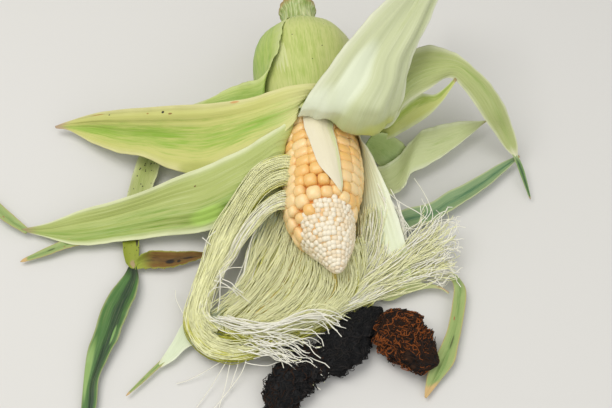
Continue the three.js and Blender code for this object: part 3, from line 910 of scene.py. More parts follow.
outer_green = husk_finish(
    "outer_husk_green", "b2c268", "88aa40", rim="c6d08c", green_share=0.32, green_wide=0.8, ribs=14,
    size=(50, 140), roughness=0.5, tip="c3cf84",
)
strap_finish = husk_finish(
    "husk_strap_veins", "b0ba76", "86a240", rim="dde0bc", tip="d8d8b4", green_share=0.2, ribs=14,
    size=(36, 150), root="bcc88c", root_to=0.25,
)
torn_finish = husk_finish(
    "husk_torn_veins", "c2c874", "96ac3c", rim="d4dab0", green_at=0.75, green_wide=0.5,
    green_share=0.4, ribs=9, size=(16, 60), rim_wide=0.22,
)
small_finish = husk_finish(
    "husk_small_green", "a2b670", "7c9c4a", rim="b9c68a", green_share=0.2, ribs=10, size=(16, 50),
)
folded_finish = husk_finish(
    "husk_folded_pale", "d0d9a0", "afc270", rim="e2e7c4", green_share=0.16, ribs=14, tip="c9c490",
    size=(26, 100),
)
sheath_finish = husk_finish(
    "sheath_speckled", "b3bc76", "84963a", rim="cfd4a4", green_share=0.25, ribs=12,
    speck_share=0.28, root="c6cf9c", tip="8f9a2e", tip_from=0.8, size=(18, 190),
    spots=[
        (0.2, 0.86, 2.4, 4.0, "5a4a22"), (0.12, 0.9, 1.5, 3.0, "2a2110"),
        (0.5, 0.985, 5.0, 0.8, "a9946a"),
    ],
)

husks = [
    dict(
        name="kernel_strip", slot="inner_husk", finish=strip_pale, thick=0.5, columns=25, rows=61,
        ribs=4, rib_rise=0.05, ruffle=0.1, seed=2,
        sections=[
            [hug(100, 1.5, 112), hug(99, 1.8, 92), hug(97, 1.5, 70)],
            [hug(93, 1.6, 111), hug(91.5, 1.9, 91), hug(88.5, 1.6, 71)],
            [hug(86, 1.6, 111), hug(84, 1.9, 92), hug(82, 1.6, 73)],
            [hug(76.4, 1.5, 107), hug(75.6, 1.8, 89), hug(74.8, 1.5, 71)],
            [hug(66, 1.5, 103), hug(66.7, 1.8, 86.5), hug(67.4, 1.5, 70)],
            [hug(57.1, 1.5, 97), hug(58, 1.8, 82.5), hug(59, 1.5, 68)],
            [hug(51.2, 1.9, 88), hug(51.8, 2.1, 77), hug(52.4, 1.8, 66)],
            [hug(45.5, 2.0, 76), hug(45.3, 2.2, 68.5), hug(45.1, 2.0, 61)],
            [hug(40.3, 1.9, 64.5), hug(40, 2.0, 62.5), hug(39.5, 1.9, 60.5)],
        ],
    ),
    dict(
        name="husk_top", slot="inner_husk", finish=inner_pale, columns=89, rows=131, seed=5,
        ruffle=0.3, ribs=9, rib_rise=0.12,
        folds=[
            (-0.75, -0.2, 1.8, 0.13), (-0.5, 0.1, -1.9, 0.15), (0.25, 0.45, 1.7, 0.13),
            (0.55, 0.7, -1.3, 0.12),
        ],
        sections=[
            [hug(108, 1.2, 128), hug(106, 1.8, 92), hug(104, 1.4, 48)],
            [(-20, 97, 53.5), (-13, 96, 55.5), (-6, 92, 56.5), (2, 86, 56), (11, 83, 54.5),
             (20, 85, 53), (27, 89, 52), (31, 93, 52), (32.5, 96.5, 52.5)],
            [(-22.5, 90.5, 56), (-14.5, 90.5, 57), (-7, 86, 58), (1, 80, 57), (10, 77, 55.5),
             (20, 79, 54.5), (28, 83, 54), (32.5, 87.5, 54.2), (35, 91, 54.6)],
            [(-21.5, 89.5, 60), (-12.5, 87, 64), (-5, 82, 66), (3, 78, 65.5), (11, 76, 64),
             (20, 79.5, 61.5), (29, 84, 59), (34, 89, 58.2), (37.2, 94, 58)],
            [(-20.5, 90, 64), (-11.5, 87, 68.5), (-3, 81, 71), (5, 78, 71.5), (13, 77, 70),
             (22, 80, 67.5), (30, 84, 64.5), (35.5, 90.5, 62.5), (39, 97, 61.6)],
            [(-18, 92, 68.5), (-8.5, 90, 73.5), (0, 85, 77), (8, 82, 78), (16, 80, 77),
             (24, 82, 74), (32, 89, 70), (37.5, 96, 67), (40.6, 101.5, 65.8)],
            [(-11, 101, 74), (-2, 96, 80), (6, 93, 83), (15, 91, 84), (23, 91, 83), (30, 94, 80),
             (36, 100, 76), (40, 104, 73), (42, 109, 71)],
            [(-1, 113, 81), (8, 109, 86), (16, 107, 88), (24, 106, 88), (31, 108, 86),
             (38, 112, 83), (43, 117, 80), (46, 121, 78)],
            [(11, 129, 86), (20, 128, 89), (27, 128, 90), (35, 128, 90), (42, 131, 88),
             (48, 134, 86), (52, 137, 84), (55, 140, 82)],
            [(30, 157, 87), (38, 157, 88), (44, 158, 88), (49, 159, 88), (54, 160, 87),
             (59, 164, 85), (63, 166, 83), (66, 169, 81)],
            [(49, 184, 80), (60, 183, 82), (74, 181, 74)],
            [(66, 205, 66), (73, 204, 67), (81, 202, 62)],
            [(79.5, 222, 50), (80.5, 222, 50.4), (81.5, 221.6, 49.6)],
        ],
    ),
    dict(
        name="husk_upper_left", slot="husk", finish=left_upper_finish, seed=8, columns=73, rows=111,
        ruffle=0.5, folds=[(0.7, 0.6, 1.0, 0.12), (-0.2, 0.0, -0.8, 0.2)],
        sections=[
            [hug(100, 2.0, 140), hug(106, 3.0, 118), hug(112, 5.0, 98)],
            [(-24, 90, 54), (-20, 98, 60.5), (-10, 107, 66.5)],
            [(-33, 82, 48.5), (-30, 94, 56.5), (-28, 107, 65)],
            [(-53, 75, 42), (-53, 92, 47), (-51, 105, 57)],
            [(-78, 68, 31), (-78, 93, 36), (-76, 107, 50)],
            [(-100, 78, 22), (-101, 100, 28), (-100, 113, 42)],
            [(-118, 91, 18), (-119, 107, 22), (-118, 118, 35)],
            [(-138, 100, 13), (-138, 115, 15), (-136, 124, 27)],
            [(-155, 111, 9), (-156, 123, 10), (-155, 128, 19)],
            [(-173, 124, 7), (-174, 127, 7), (-173, 130, 10)],
            [(-182.5, 127, 6), (-183, 128, 6), (-183, 129, 6)],
        ],
    ),
    dict(
        name="husk_lower_left", slot="husk", finish=left_lower_finish, seed=9, columns=81, rows=121,
        ruffle=0.5,
        folds=[(-0.45, -0.3, 0.9, 0.1), (0.3, 0.2, -0.7, 0.14), (-0.75, -0.6, -0.7, 0.08)],
        sections=[
            [hug(72, 0.6, 190), hug(90, 0.9, 160), hug(107, 1.4, 124)],
            [hug(60, 0.5, 190), hug(77, 1.0, 153), hug(98, 2.0, 120)],
            [(-40, 50, 27), (-37, 70, 43), (-31, 87, 53)],
            [(-52, 43, 19), (-49, 63, 37), (-44, 81, 48)],
            [(-66, 39, 17), (-62, 58, 32), (-56, 76, 43)],
            [(-82, 38, 11), (-79, 54, 24), (-76, 71, 35)],
            [(-101, 38, 8), (-99, 53, 18), (-96, 66, 29)],
            [(-118, 36, 7), (-117, 51, 13), (-114, 61, 23)],
            [(-137, 34, 6), (-136, 48, 9), (-135, 57, 17)],
            [(-154, 33, 5), (-155, 45, 7), (-155, 54, 12)],
            [(-173, 39, 4.5), (-173, 44, 5), (-173, 48, 8)],
            [(-189, 44, 4.6), (-189.5, 44.6, 4.6), (-190, 45.2, 5)],
        ],
    ),
    dict(
        name="husk_outer_left", slot="outer_husk", finish=outer_green, seed=10, columns=57, rows=91,
        ruffle=0.5,
        sections=[
            [on_wrap(185, 1.2, 205), on_wrap(185, 2.2, 155), on_wrap(185, 2.4, 108)],
            [on_wrap(174, 2.0, 200), on_wrap(174, 2.8, 155), on_wrap(174, 3.0, 112)],
            [on_wrap(158, 2.2, 192), on_wrap(158, 3.0, 154), on_wrap(158, 3.2, 116)],
            [on_wrap(138, 2.4, 184), on_wrap(140, 3.4, 154), on_wrap(144, 3.4, 122)],
            [(-43, 102, 48), (-44, 110, 53), (-45, 123, 57)],
            [(-60, 104, 38), (-61, 113, 44), (-62, 125, 47)],
            [(-85, 116.5, 36), (-85, 117.2, 37), (-85, 118, 38)],
        ],
    ),
    dict(
        name="husk_strap", slot="husk", finish=strap_finish, seed=12, columns=57, rows=111,
        ruffle=0.4,
        sections=[
            [(6, 98, 48), (9, 116, 51), (10, 134, 50)],
            [(30, 90, 46), (33, 111, 57), (38, 141, 56)],
            [(42, 105, 50), (50, 122, 60), (56, 148, 59)],
            [(57, 115, 54), (64, 127, 61), (70, 145, 59)],
            [(70, 124, 55), (76, 129, 59), (80, 137, 58)],
            [(79, 121, 49), (86, 124, 53), (91, 130, 52)],
            [(88, 115, 39), (96, 118, 43), (101, 124, 43)],
            [(95, 111, 30), (102, 113, 33), (108, 119, 33)],
            [(102, 108, 21), (108, 111, 23), (113, 114, 23)],
            [(109, 104, 12.5), (113, 105, 13.5), (117, 107, 13.5)],
            [(115.4, 99, 8.6), (116.2, 99.4, 8.9), (117.4, 100, 8.6)],
        ],
    ),
    dict(
        name="strip_torn", slot="inner_husk", finish=torn_finish, seed=13, columns=31, rows=61,
        ribs=5, ruffle=0.3,
        sections=[
            [(26, 105, 18), (28, 109, 24), (29, 112, 30)],
            [(34, 103, 22), (35, 106, 30), (36, 107, 40)],
            [(42, 104, 27), (42, 108, 36), (43, 110, 46)],
            [(56, 106, 38), (54, 112, 43), (52, 116, 49)],
            [(65, 111, 46), (63, 113, 47), (61, 116, 48.5)],
            [(70, 116, 51), (69, 117, 51.5), (68, 119, 52)],
            [(75, 123, 54), (74.5, 123.6, 54.2), (74, 124.6, 54.6)],
        ],
    ),
    dict(
        name="husk_right_folded", slot="inner_husk", finish=folded_finish, seed=14, columns=45,
        rows=81, ruffle=0.4,
        sections=[
            [(31, 70, 4), (29, 80, 5), (24, 92, 8)],
            [(37, 71, 7), (34, 80, 7), (32, 92, 10)],
            [(43, 74, 10), (41, 85, 9), (41, 99, 11)],
            [(48, 84, 11), (51, 99, 15), (55, 114, 16)],
            [(57, 90, 10), (62, 104, 13), (66, 119, 17)],
            [(71, 100, 11), (77, 112, 12), (82, 124, 16)],
            [(86, 114, 11), (90, 121, 11), (93, 127, 13)],
            [(99, 127, 12), (100, 127.6, 12), (100.5, 128.2, 12)],
        ],
    ),
    dict(
        name="husk_right_small", slot="outer_husk", node="husk_right_folded", finish=small_finish,
        seed=18, columns=25, rows=41, ruffle=0.3,
        sections=[
            [(17, 96, 20), (20, 95, 28), (24, 96, 36)],
            [(23, 98, 10), (28, 100, 17), (33, 104, 26)],
            [(29, 94, 6), (35, 99, 9), (43, 108, 14)],
            [(34, 87, 4.5), (40, 94, 5.5), (49, 104, 8)],
        ],
    ),
    dict(
        name="husk_right_inner", slot="inner_husk", finish=right_inner_finish, seed=15, columns=61,
        rows=101, ruffle=0.4,
        sections=[
            [hug(112, 0.9, -16), hug(110, 1.0, 10), hug(108, 1.2, 34)],
            [hug(86, 1.0, -20), hug(88, 1.4, 8), hug(90, 2.4, 33)],
            [(14, 61, 16), (19, 68, 28), (21, 76, 39)],
            [(12, 42, 11), (21, 50, 22), (30, 56, 31)],
            [(11, 24, 7), (24, 31, 15), (36, 38, 25)],
            [(14, 5, 5), (28, 13, 9.5), (41, 21, 16)],
            [(28, -5, 4), (36, 1, 5), (43, 8, 11)],
            [(39, -1, 4.2), (43, 3, 5), (45, 6, 9)],
            [(48, 2, 4.5), (49, 3.5, 5.4), (49, 5, 7.4)],
            [(55, 2.8, 5), (55, 3.8, 5.6), (55, 4.8, 6.2)],
            [(60, 1.1, 6.2), (60.2, 1.9, 6.4), (60.4, 2.7, 6.2)],
            [(64, -0.8, 4.6), (64.2, -0.2, 4.8), (64.4, 0.4, 4.6)],
        ],
    ),
    dict(
        name="husk_left_inner", slot="inner_husk", finish=left_inner_finish, seed=16, columns=61,
        rows=101, ruffle=0.4,
        sections=[
            [hug(100, 0.9, 198), hug(98, 0.9, 222), hug(94, 0.9, 246)],
            [hug(78, 1.0, 188), hug(72, 1.0, 212), hug(62, 1.0, 240)],
            [(-39, 50, 24), (-33, 43, 19), (-19, 36, 8)],
            [(-44, 45, 20), (-37, 36, 16), (-22, 28, 6)],
            [(-49, 38, 16), (-41, 29, 12.5), (-26, 20, 5)],
            [(-52, 24, 12), (-44, 17, 8.5), (-29, 8, 4.5)],
            [(-55, 7, 8), (-48, 1, 5.5), (-34, -8, 4)],
            [(-62, -6, 7), (-54, -12, 5), (-43, -20, 4)],
            [(-75, -14, 6.5), (-68, -23, 5), (-60, -34, 4)],
            [(-86, -20, 6), (-84, -27, 4.8), (-80, -34, 4.4)],
            [(-92, -33, 5), (-91, -38, 4.4), (-90, -43, 4)],
            [(-98.5, -44.5, 3.5), (-98, -46, 3.3), (-97, -47.5, 3.2)],
        ],
    ),
    dict(
        name="sheath_left", slot="outer_husk", finish=sheath_finish, seed=17, columns=37, rows=121,
        route=[
            (-36, 132, 24), (-66, 140, 12), (-92, 135, 6), (-110, 119, 5),
            (-119, 91, 4), (-123, 57, 4), (-122, 30, 4), (-119, 17, 4),
        ],
        lean=[-20, 0, 0], width=[20, 20, 20, 18, 14, 10, 8], bend=[50, 60, 60],
    ),
]
for husk in husks:
    fit(leaf_piece(husk), husk["slot"], husk.get("node", husk["name"]))

# The leaf blades
# Small blades that grow at the points of the husks. They are dark green with a channel along the
# middle and pale dry edges, and some have withered.
# The dark blade's first mark is a painted highlight: a lighter green streak along its lit left
# side.
dark_blade = husk_finish(
    "blade_dark", "44702f", "1c3a1e", rim="a6ad70", tip="a89660", green_at=0.6, green_share=0.45,
    green_wide=0.45, ribs=10, rim_wide=0.09, size=(16, 110), roughness=0.42, root="1d2a18",
    root_to=0.1, spots=[(0.14, 0.62, 2.6, 9.0, "8dad62"), (0.75, 0.45, 1.0, 8.0, "7ba158")],
)
grey_blade = husk_finish(
    "blade_grey_green", "839f70", "47744f", rim="c2c898", tip="c2b27c", green_share=0.35,
    green_wide=0.35, ribs=10, rim_wide=0.13, size=(14, 110), roughness=0.42,
)
strap_blade = husk_finish(
    "blade_strap_dark", "6c9152", "33582f", rim="a9b47a", tip="b59b63", green_share=0.5, ribs=6,
    rim_wide=0.09, size=(5, 40), roughness=0.45, root="a9bb84", root_to=0.25,
)
pale_blade = husk_finish(
    "blade_pale", "99ad68", "70914a", rim="c2ac70", tip="cfae74", green_share=0.3, ribs=8,
    rim_wide=0.1, tip_from=0.88, size=(10, 90),
    spots=[(0.55, 0.55, 0.8, 8.0, "5d6b3a"), (0.3, 0.36, 0.6, 3.0, "a3683c")],
)
brown_strip = husk_finish(
    "strip_withered", "75531f", "3f2910", rim="9aa140", tip="6a4a1c", green_share=0.3, ribs=6,
    rim_wide=0.1, size=(9, 45), roughness=0.75, root="98a53c", root_to=0.3,
    spots=[
        (0.4, 0.5, 1.4, 2.5, "1d1508"), (0.5, 0.75, 1.0, 4.0, "2a1c0c"),
        (0.35, 0.62, 1.0, 1.5, "20170a"),
    ],
)
BLADE_SEED = 30
# What a blade has unless its entry says otherwise.
PLAIN_BLADE = dict(
    lean=[0, 0], bend=[60, 50, 40], columns=25, rows=45, ribs=5, ruffle=0.4, rib_rise=0.08,
    folds=[(0, 0, -1.0, 0.12)],
)
blades = [
    dict(
        name="blade_left", slot="leaf", finish=dark_blade, rows=91, columns=33,
        sections=[
            [(-122, 19, 4), (-120, 19, 3.6), (-117.5, 19, 4)],
            [(-124, 12, 5), (-119.5, 11, 3.8), (-115, 9, 5.5)],
            [(-130, 1, 5), (-122.5, 0, 3.6), (-115, -1, 6)],
            [(-134, -11, 5), (-125.5, -11, 3.8), (-117, -10, 6.5)],
            [(-136, -26, 5), (-128, -24, 3.8), (-120, -21, 6)],
            [(-138, -38, 5), (-130, -35, 3.6), (-122, -30, 5.5)],
            [(-138, -50, 4.5), (-132, -47, 3.4), (-126, -41, 5)],
            [(-137.5, -60, 4), (-133.5, -58, 3.2), (-129.5, -54, 4.4)],
            [(-137, -70, 3.4), (-133, -70, 3), (-129, -70, 3.6)],
            [(-136, -80, 3), (-133.5, -80, 2.8), (-131, -80, 3)],
            [(-134.5, -90, 2.6), (-134, -90, 2.5), (-133.5, -90, 2.6)],
        ],
    ),
    dict(
        name="strip_brown", slot="dry_husk", finish=brown_strip, rows=61, ruffle=0.9,
        sections=[
            [(-118, 16, 4.5), (-118, 19, 4), (-119, 21, 5.5)],
            [(-113, 17, 4.5), (-115, 22, 4), (-114, 24, 9)],
            [(-108, 17, 4.5), (-109, 23, 4), (-109, 27, 8.5)],
            [(-99, 17, 4.5), (-99, 23, 4), (-99, 27, 8)],
            [(-92, 19, 4.5), (-92, 24, 4), (-92, 27, 7.5)],
            [(-85, 22, 4.5), (-85, 25, 4), (-85, 28, 6.5)],
            [(-77, 25, 4.5), (-77, 27, 4.2), (-77, 28, 5)],
        ],
    ),
    dict(
        name="blade_upper_right", slot="leaf", finish=grey_blade, rows=81, columns=33,
        sections=[
            [(33, 38, 6), (31, 43, 6), (29, 49, 8)],
            [(46, 46, 6), (44, 52, 5.5), (42, 58, 8)],
            [(61, 51, 7), (60, 57, 5.5), (58, 63, 8)],
            [(71, 58, 7), (70.5, 65, 5.3), (70, 72, 8)],
            [(82, 66, 7), (80.5, 71.5, 5.2), (79, 77, 8)],
            [(96, 78, 6), (94.5, 82.5, 4.8), (93, 87, 7)],
            [(108, 90, 6), (107, 93, 4.8), (106, 96, 7)],
            [(119.5, 102.5, 5), (119.6, 103.5, 4.8), (119, 104.5, 5)],
        ],
    ),
    dict(
        name="blade_strap", slot="leaf", finish=strap_blade, width=[2.4, 3.6, 3.6, 2.6, 1],
        route=[(114.5, 102, 10), (117.6, 94, 7.5), (119.6, 84, 5.5), (122, 70, 3)],
    ),
    dict(
        name="blade_lower_left", slot="leaf", finish=pale_blade, width=[4, 7, 7, 2],
        route=[(-186, 43.5, 4.4), (-199, 53, 5), (-212, 65, 5), (-227, 79, 5)],
    ),
    dict(
        name="strip_lower_left", slot="husk", finish=pale_blade, width=[7, 7, 6, 2],
        route=[(-148, 38, 4.4), (-161, 34.5, 4), (-173, 29, 3.4), (-187, 23, 2.6)],
    ),
    dict(
        name="blade_left_inner", slot="leaf", finish=pale_blade, width=[3, 2.8, 2.4, 1],
        route=[(-96, -43.5, 3.4), (-101, -49, 3.2), (-107, -56, 3), (-114, -64, 3)],
    ),
    dict(
        name="blade_right_inner", slot="leaf", finish=pale_blade, rows=81, columns=33,
        sections=[
            [(64, 10, 6.5), (67, 11, 7), (70, 11, 6)],
            [(67, 5, 6.5), (70, 5, 7), (73.5, 5, 5.5)],
            [(66.5, -3, 6), (70, -3, 5), (74, -3, 5.5)],
            [(62, -22, 5.5), (66, -22, 4.2), (70, -21, 5)],
            [(57, -34, 5), (61.5, -35, 4), (66, -35.5, 4.6)],
            [(49, -49, 4.8), (55.5, -48, 3.8), (63, -45, 4.4)],
            [(46.5, -58, 3.6), (50, -57.5, 3.2), (55, -55, 3.4)],
            [(45.5, -64.5, 2.8), (46, -65, 2.7), (46.8, -65, 2.8)],
        ],
    ),
]
for number, blade in enumerate(blades):
    leaf = leaf_piece({**PLAIN_BLADE, **blade, "seed": BLADE_SEED + number})
    fit(leaf, blade["slot"], blade["name"])

# The silk
# Hundreds of fine moist threads that run out between the husks over the ear's tip. They lie in
# sweeping locks, cross each other and end in dry white curls.
SILK_STEPS = 19
SILK_THICK = 0.46
SILK_CLEAR = 0.6
THREAD_THICK = 0.6
STRAND_SIDES = 3
GUIDE_SAMPLES = 160
BED_SEED = 50
BED_SECTIONS = 14
# The waves of a lock and of a single strand: how often each turns, and its share of the sway.
LOCK_WAVES = [(0.6, 1.0), (1.4, 0.5)]
STRAND_WAVES = [(0.9, 1.0), (2.3, 0.6), (4.5, 0.2)]


def strand_tree():
    """Makes a thin tube along each row of edges."""
    tree, given = geometry_tree("strands", Thickness="Float", Finish="Material")
    edges, thickness, finish = given[:3]
    curves = add_node(tree, "GeometryNodeMeshToCurve", {0: edges}).outputs[0]
    taper = {"Curve": curves, "Radius": attribute(tree, "thin", "FLOAT")}
    curves = add_node(tree, "GeometryNodeSetCurveRadius", taper).outputs[0]
    ring = {"Resolution": STRAND_SIDES, "Radius": Number(tree, thickness) * 0.5}
    circle = add_node(tree, "GeometryNodeCurvePrimitiveCircle", ring).outputs[0]
    tube = {"Curve": curves, "Profile Curve": circle, "Fill Caps": True}
    return end_tree(tree, add_node(tree, "GeometryNodeCurveToMesh", tube).outputs[0], finish)


def guide_table(guides):
    """Each guide as a row of points at even shares of its length."""
    rows = []
    for route in guides:
        dense = spread_over(route, GUIDE_SAMPLES * 2)
        steps = np.linalg.norm(np.diff(dense, axis=0), axis=1)
        lengths = np.concatenate([[0], np.cumsum(steps)])
        even = np.linspace(0, lengths[-1], GUIDE_SAMPLES)
        rows.append(np.stack([np.interp(even, lengths, dense[:, k]) for k in range(3)], 1))
    return np.array(rows)


def lay_strands(
    rng, guides, locks, each, loose, depth, start, finish, tight=1.5, sway=1.5, stray=0.5,
    frizz=0.8, curl=(1.5, 3.5), steps=SILK_STEPS, spread_end=1.0,
):
    """Strands in locks that run between the guides. A lock's strands share its place and waves, and
    each has its own start, end and strays. Gives their points and how high each lies, 0 to 1."""
    table = guide_table(guides)
    spans = len(guides) - 1
    count = locks * each
    of = np.repeat(np.arange(locks), each)
    first = rng.uniform(0, start, count)
    last = 1 - rng.uniform(0, 1, count) ** 1.6 * finish
    t = first[:, None] + (last - first)[:, None] * np.linspace(0, 1, steps)
    column = t * (GUIDE_SAMPLES - 1)
    low = np.minimum(column.astype(int), GUIDE_SAMPLES - 2)
    part = (column - low)[:, :, None]
    even = (np.arange(locks) + rng.uniform(0, 1, locks)) / locks
    which = np.clip(even[of] + rng.normal(0, 0.25 / locks, count), 0, 0.9999) * spans
    here = np.minimum(which.astype(int), spans - 1)
    blend = (which - here)[:, None, None]

    def along(row):
        return table[row[:, None], low] * (1 - part) + table[row[:, None], low + 1] * part

    path = along(here) * (1 - blend) + along(here + 1) * blend
    run = np.gradient(path, axis=1)
    side = np.stack([run[:, :, 1], -run[:, :, 0], np.zeros_like(run[:, :, 0])], 2)
    side /= np.linalg.norm(side, axis=2, keepdims=True) + 1e-9
    layer = np.clip(rng.uniform(0, 1, locks)[of] + rng.normal(0, 0.16, count), 0, 1)
    open_up = 1 + (spread_end - 1) * t**2
    shift = rng.normal(0, loose / 2, locks)[of][:, None] * open_up
    turns = rng.uniform(0.6, 1.6, locks)[of][:, None]
    phase = rng.uniform(0, 1, locks)[of][:, None]
    gather = 0.62 + 0.38 * np.cos(FULL_TURN * (turns * t + phase))
    own = rng.normal(0, tight / 2, count)[:, None] * gather * open_up
    waves = np.zeros((2, count, steps))
    for axis in range(2):
        for turns, size in LOCK_WAVES:
            phase = rng.uniform(0, FULL_TURN, locks)[of][:, None]
            strength = rng.normal(0, sway * size, locks)[of][:, None]
            waves[axis] += strength * np.sin(FULL_TURN * turns * t + phase)
        for turns, size in STRAND_WAVES:
            phase = rng.uniform(0, FULL_TURN, count)[:, None]
            strength = rng.normal(0, stray * size, count)[:, None]
            waves[axis] += strength * np.sin(FULL_TURN * turns * t + phase)
    late = np.clip((t - 0.5) / 0.5, 0, 1) ** 1.7
    for axis in range(2):
        for scale in (1.0, 2.3):
            turns = rng.uniform(*curl, count)[:, None] * scale
            phase = rng.uniform(0, FULL_TURN, count)[:, None]
            waves[axis] += frizz / scale * late * np.sin(FULL_TURN * turns * t + phase)
    path = path + side * (shift + own + waves[0])[:, :, None]
    path[:, :, 2] += (layer - 0.5)[:, None] * depth + 0.6 * waves[1]
    path[:, :, 2] = np.maximum(path[:, :, 2], SILK_CLEAR + 0.8 * layer[:, None])
    return path, layer


def strands_piece(name, paths, finish, thick, rng):
    """One mesh piece of many strands. Each is thinner at its ends."""
    count, steps, _ = paths.shape
    starts = (np.arange(count) * steps)[:, None] + np.arange(steps - 1)
    edges = np.stack([starts.ravel(), starts.ravel() + 1], 1).tolist()
    shares = np.linspace(0, 1, steps)
    thin = np.clip(np.minimum(shares * 8 + 0.5, (1 - shares) * 6 + 0.35), 0, 1)
    attributes = {"thin": np.outer(rng.uniform(0.65, 1.2, count), thin).ravel()}
    values = {"Thickness": thick * MM, "Finish": finish}
    return grown(name, paths.reshape(-1, 3), edges, attributes, strands_of, values)


def silk_finish(name, colour, roughness=0.45):
    return new_finish(name, roughness, colour, Specular_IOR_Level=0.3)[0]


strands_of = strand_tree()
silk_tones = {
    "pale": silk_finish("silk_pale", "f5f5c6"),
    "yellow": silk_finish("silk_yellow_green", "dcdb72"),
    "olive": silk_finish("silk_olive", "a6a636"),
    # The gold tone is partly the silk's own colour and partly painted shade under the ear's edge.
    "gold": silk_finish("silk_gold_shade", "d2bc54"),
    "white": silk_finish("silk_white", "f8f6e8"),
}


# A bed's finish. Its saturated yellow-olive is painted shade that shows in the gaps between the
# strands over it.
def bed_shade_finish(name, pale, green):
    return husk_finish(
        name, pale, green, rim="e4e7b8", tip="e0e3b0", tip_from=0.99, green_share=0.2,
        green_wide=0.8, ribs=26, rim_wide=0.08, roughness=0.5,
    )


mass_left = bed_shade_finish("silk_mass_left", "cfce66", "a8a62e")
mass_deep = bed_shade_finish("silk_mass_deep", "dcd85c", "b4a828")
mass_pale = bed_shade_finish("silk_mass_pale", "e6e89c", "cace58")

stream = [
    [(-24, 68, 42), (-31, 67, 45), (-44, 64, 42), (-53, 57, 35), (-61, 47, 27), (-70, 33, 20),
     (-76, 15, 14), (-81, -4, 11), (-84, -18, 9), (-82, -29, 8), (-77, -37, 8), (-71, -42, 8),
     (-61, -45, 8), (-50, -44, 8)],
    [(-24, 63, 38), (-31, 62, 40), (-43, 58, 36), (-51, 52, 29), (-58, 44, 22), (-65, 29, 18),
     (-71, 12, 14), (-77, -4, 12), (-80, -18, 11), (-78, -27, 10), (-73, -33, 10), (-66, -38, 10),
     (-54, -41, 10), (-40, -40, 12)],
    [(-24, 54, 39), (-31, 54, 41), (-41, 50, 38), (-48, 45, 32), (-55, 36, 23), (-61, 26, 17),
     (-68, 11, 14), (-73, -3, 12), (-77, -17, 11), (-77, -24, 11), (-74, -31, 11), (-68, -36, 11),
     (-60, -39, 11)],
]
veil = [
    [(-24, 47, 36), (-31, 47, 38), (-40, 44, 34), (-48, 38, 28), (-56, 29, 21), (-61, 20, 16),
     (-68, 9, 14), (-73, -3, 12), (-76, -14, 12), (-75, -23, 12), (-68, -30, 12)],
    [(-24, 40, 32), (-31, 40, 34), (-40, 38, 32), (-48, 33, 26), (-55, 26, 20), (-61, 17, 15),
     (-68, 8, 13), (-73, -2, 12), (-75, -12, 12), (-73, -22, 12), (-64, -29, 12)],
]
hook = [
    [(-81, -4, 11), (-84, -19, 9), (-82, -29, 8), (-77, -37, 8), (-71, -42, 8), (-63, -45, 8),
     (-55, -45, 8), (-46, -43, 8)],
    [(-77, -8, 12), (-79, -19, 10), (-78, -27, 10), (-73, -34, 9), (-66, -39, 9), (-58, -42, 9),
     (-46, -41, 10)],
    [(-75, -12, 12), (-77, -20, 10), (-76, -27, 10), (-71, -34, 9), (-65, -38, 9), (-54, -40, 10),
     (-42, -39, 11)],
]
white_band = [
    [(-73, -21, 14), (-64, -23, 16), (-54, -27, 17), (-42, -30, 18), (-30, -27, 19), (-18, -21, 18),
     (-7, -20, 17), (4, -22, 14), (14, -22, 10)],
    [(-71, -23, 13), (-54, -30, 16), (-37, -32, 18), (-24, -29, 17), (-15, -26, 15), (-9, -30, 13),
     (-5, -35, 10)],
]
white_ends = [
    [(-52, -31, 15), (-42, -33, 16), (-31, -35, 17), (-21, -32, 16), (-13, -32, 14),
     (-10, -38, 11)],
    [(-53, -35, 14), (-42, -38, 15), (-30, -39, 15), (-19, -41, 13), (-11, -45, 10), (-5, -45, 8)],
    [(-53, -39, 12), (-42, -42, 14), (-30, -45, 13), (-23, -50, 11), (-15, -54, 8), (-7, -61, 5)],
    [(-56, -41, 10), (-46, -44, 12), (-36, -45, 12), (-30, -47, 11), (-23, -53, 8), (-19, -58, 6)],
]
pocket = [
    [(-72, -26, 12), (-62, -29, 11), (-51, -31, 12), (-40, -34, 14), (-29, -34, 15)],
    [(-69, -31, 11), (-61, -35, 10), (-49, -38, 11), (-38, -40, 12), (-28, -41, 12)],
]
curtain = [
    [(-31, 48, 24), (-36, 39, 19), (-41, 26, 15), (-47, 11, 13), (-54, -1, 12), (-63, -10, 11),
     (-72, -17, 11)],
    [(-25, 34, 18), (-28, 20, 14), (-34, 5, 11), (-43, -8, 10), (-52, -20, 10), (-59, -28, 11),
     (-52, -34, 12)],
    [(-19, 22, 16), (-21, 11, 13), (-26, -1, 11), (-34, -12, 10), (-45, -21, 10), (-53, -29, 11),
     (-44, -35, 12)],
    [(-11, 13, 16), (-12, 4, 12), (-18, -8, 11), (-27, -17, 10), (-38, -24, 10), (-49, -30, 11),
     (-52, -34, 11)],
    [(-2, 6, 16), (-2, -3, 12), (-7, -12, 11), (-16, -19, 10), (-28, -25, 10), (-40, -31, 11),
     (-50, -35, 11)],
    [(6, 13, 18), (8, 3, 13), (6, -6, 11), (-2, -14, 10), (-14, -21, 10), (-28, -27, 11),
     (-42, -31, 12)],
    [(12, 28, 22), (14, 17, 15), (11, 5, 12), (5, -6, 10), (-4, -14, 10), (-15, -21, 10),
     (-28, -27, 11)],
]
husk_left_sparse = [
    [(-42, 44, 23), (-46, 34, 19), (-50, 22, 15), (-52, 8, 12), (-57, -4, 11), (-65, -13, 10)],
    [(-37, 42, 22), (-41, 32, 17), (-45, 19, 13), (-49, 6, 12), (-55, -5, 11), (-64, -13, 10)],
]
husk_right_sparse = [
    [(22, 60, 34), (31, 47, 25), (34, 32, 16), (31, 16, 11), (24, 4, 9), (12, -8, 8)],
    [(30, 54, 30), (37, 44, 22), (40, 31, 16), (36, 17, 11), (28, 4, 9), (15, -8, 8)],
]
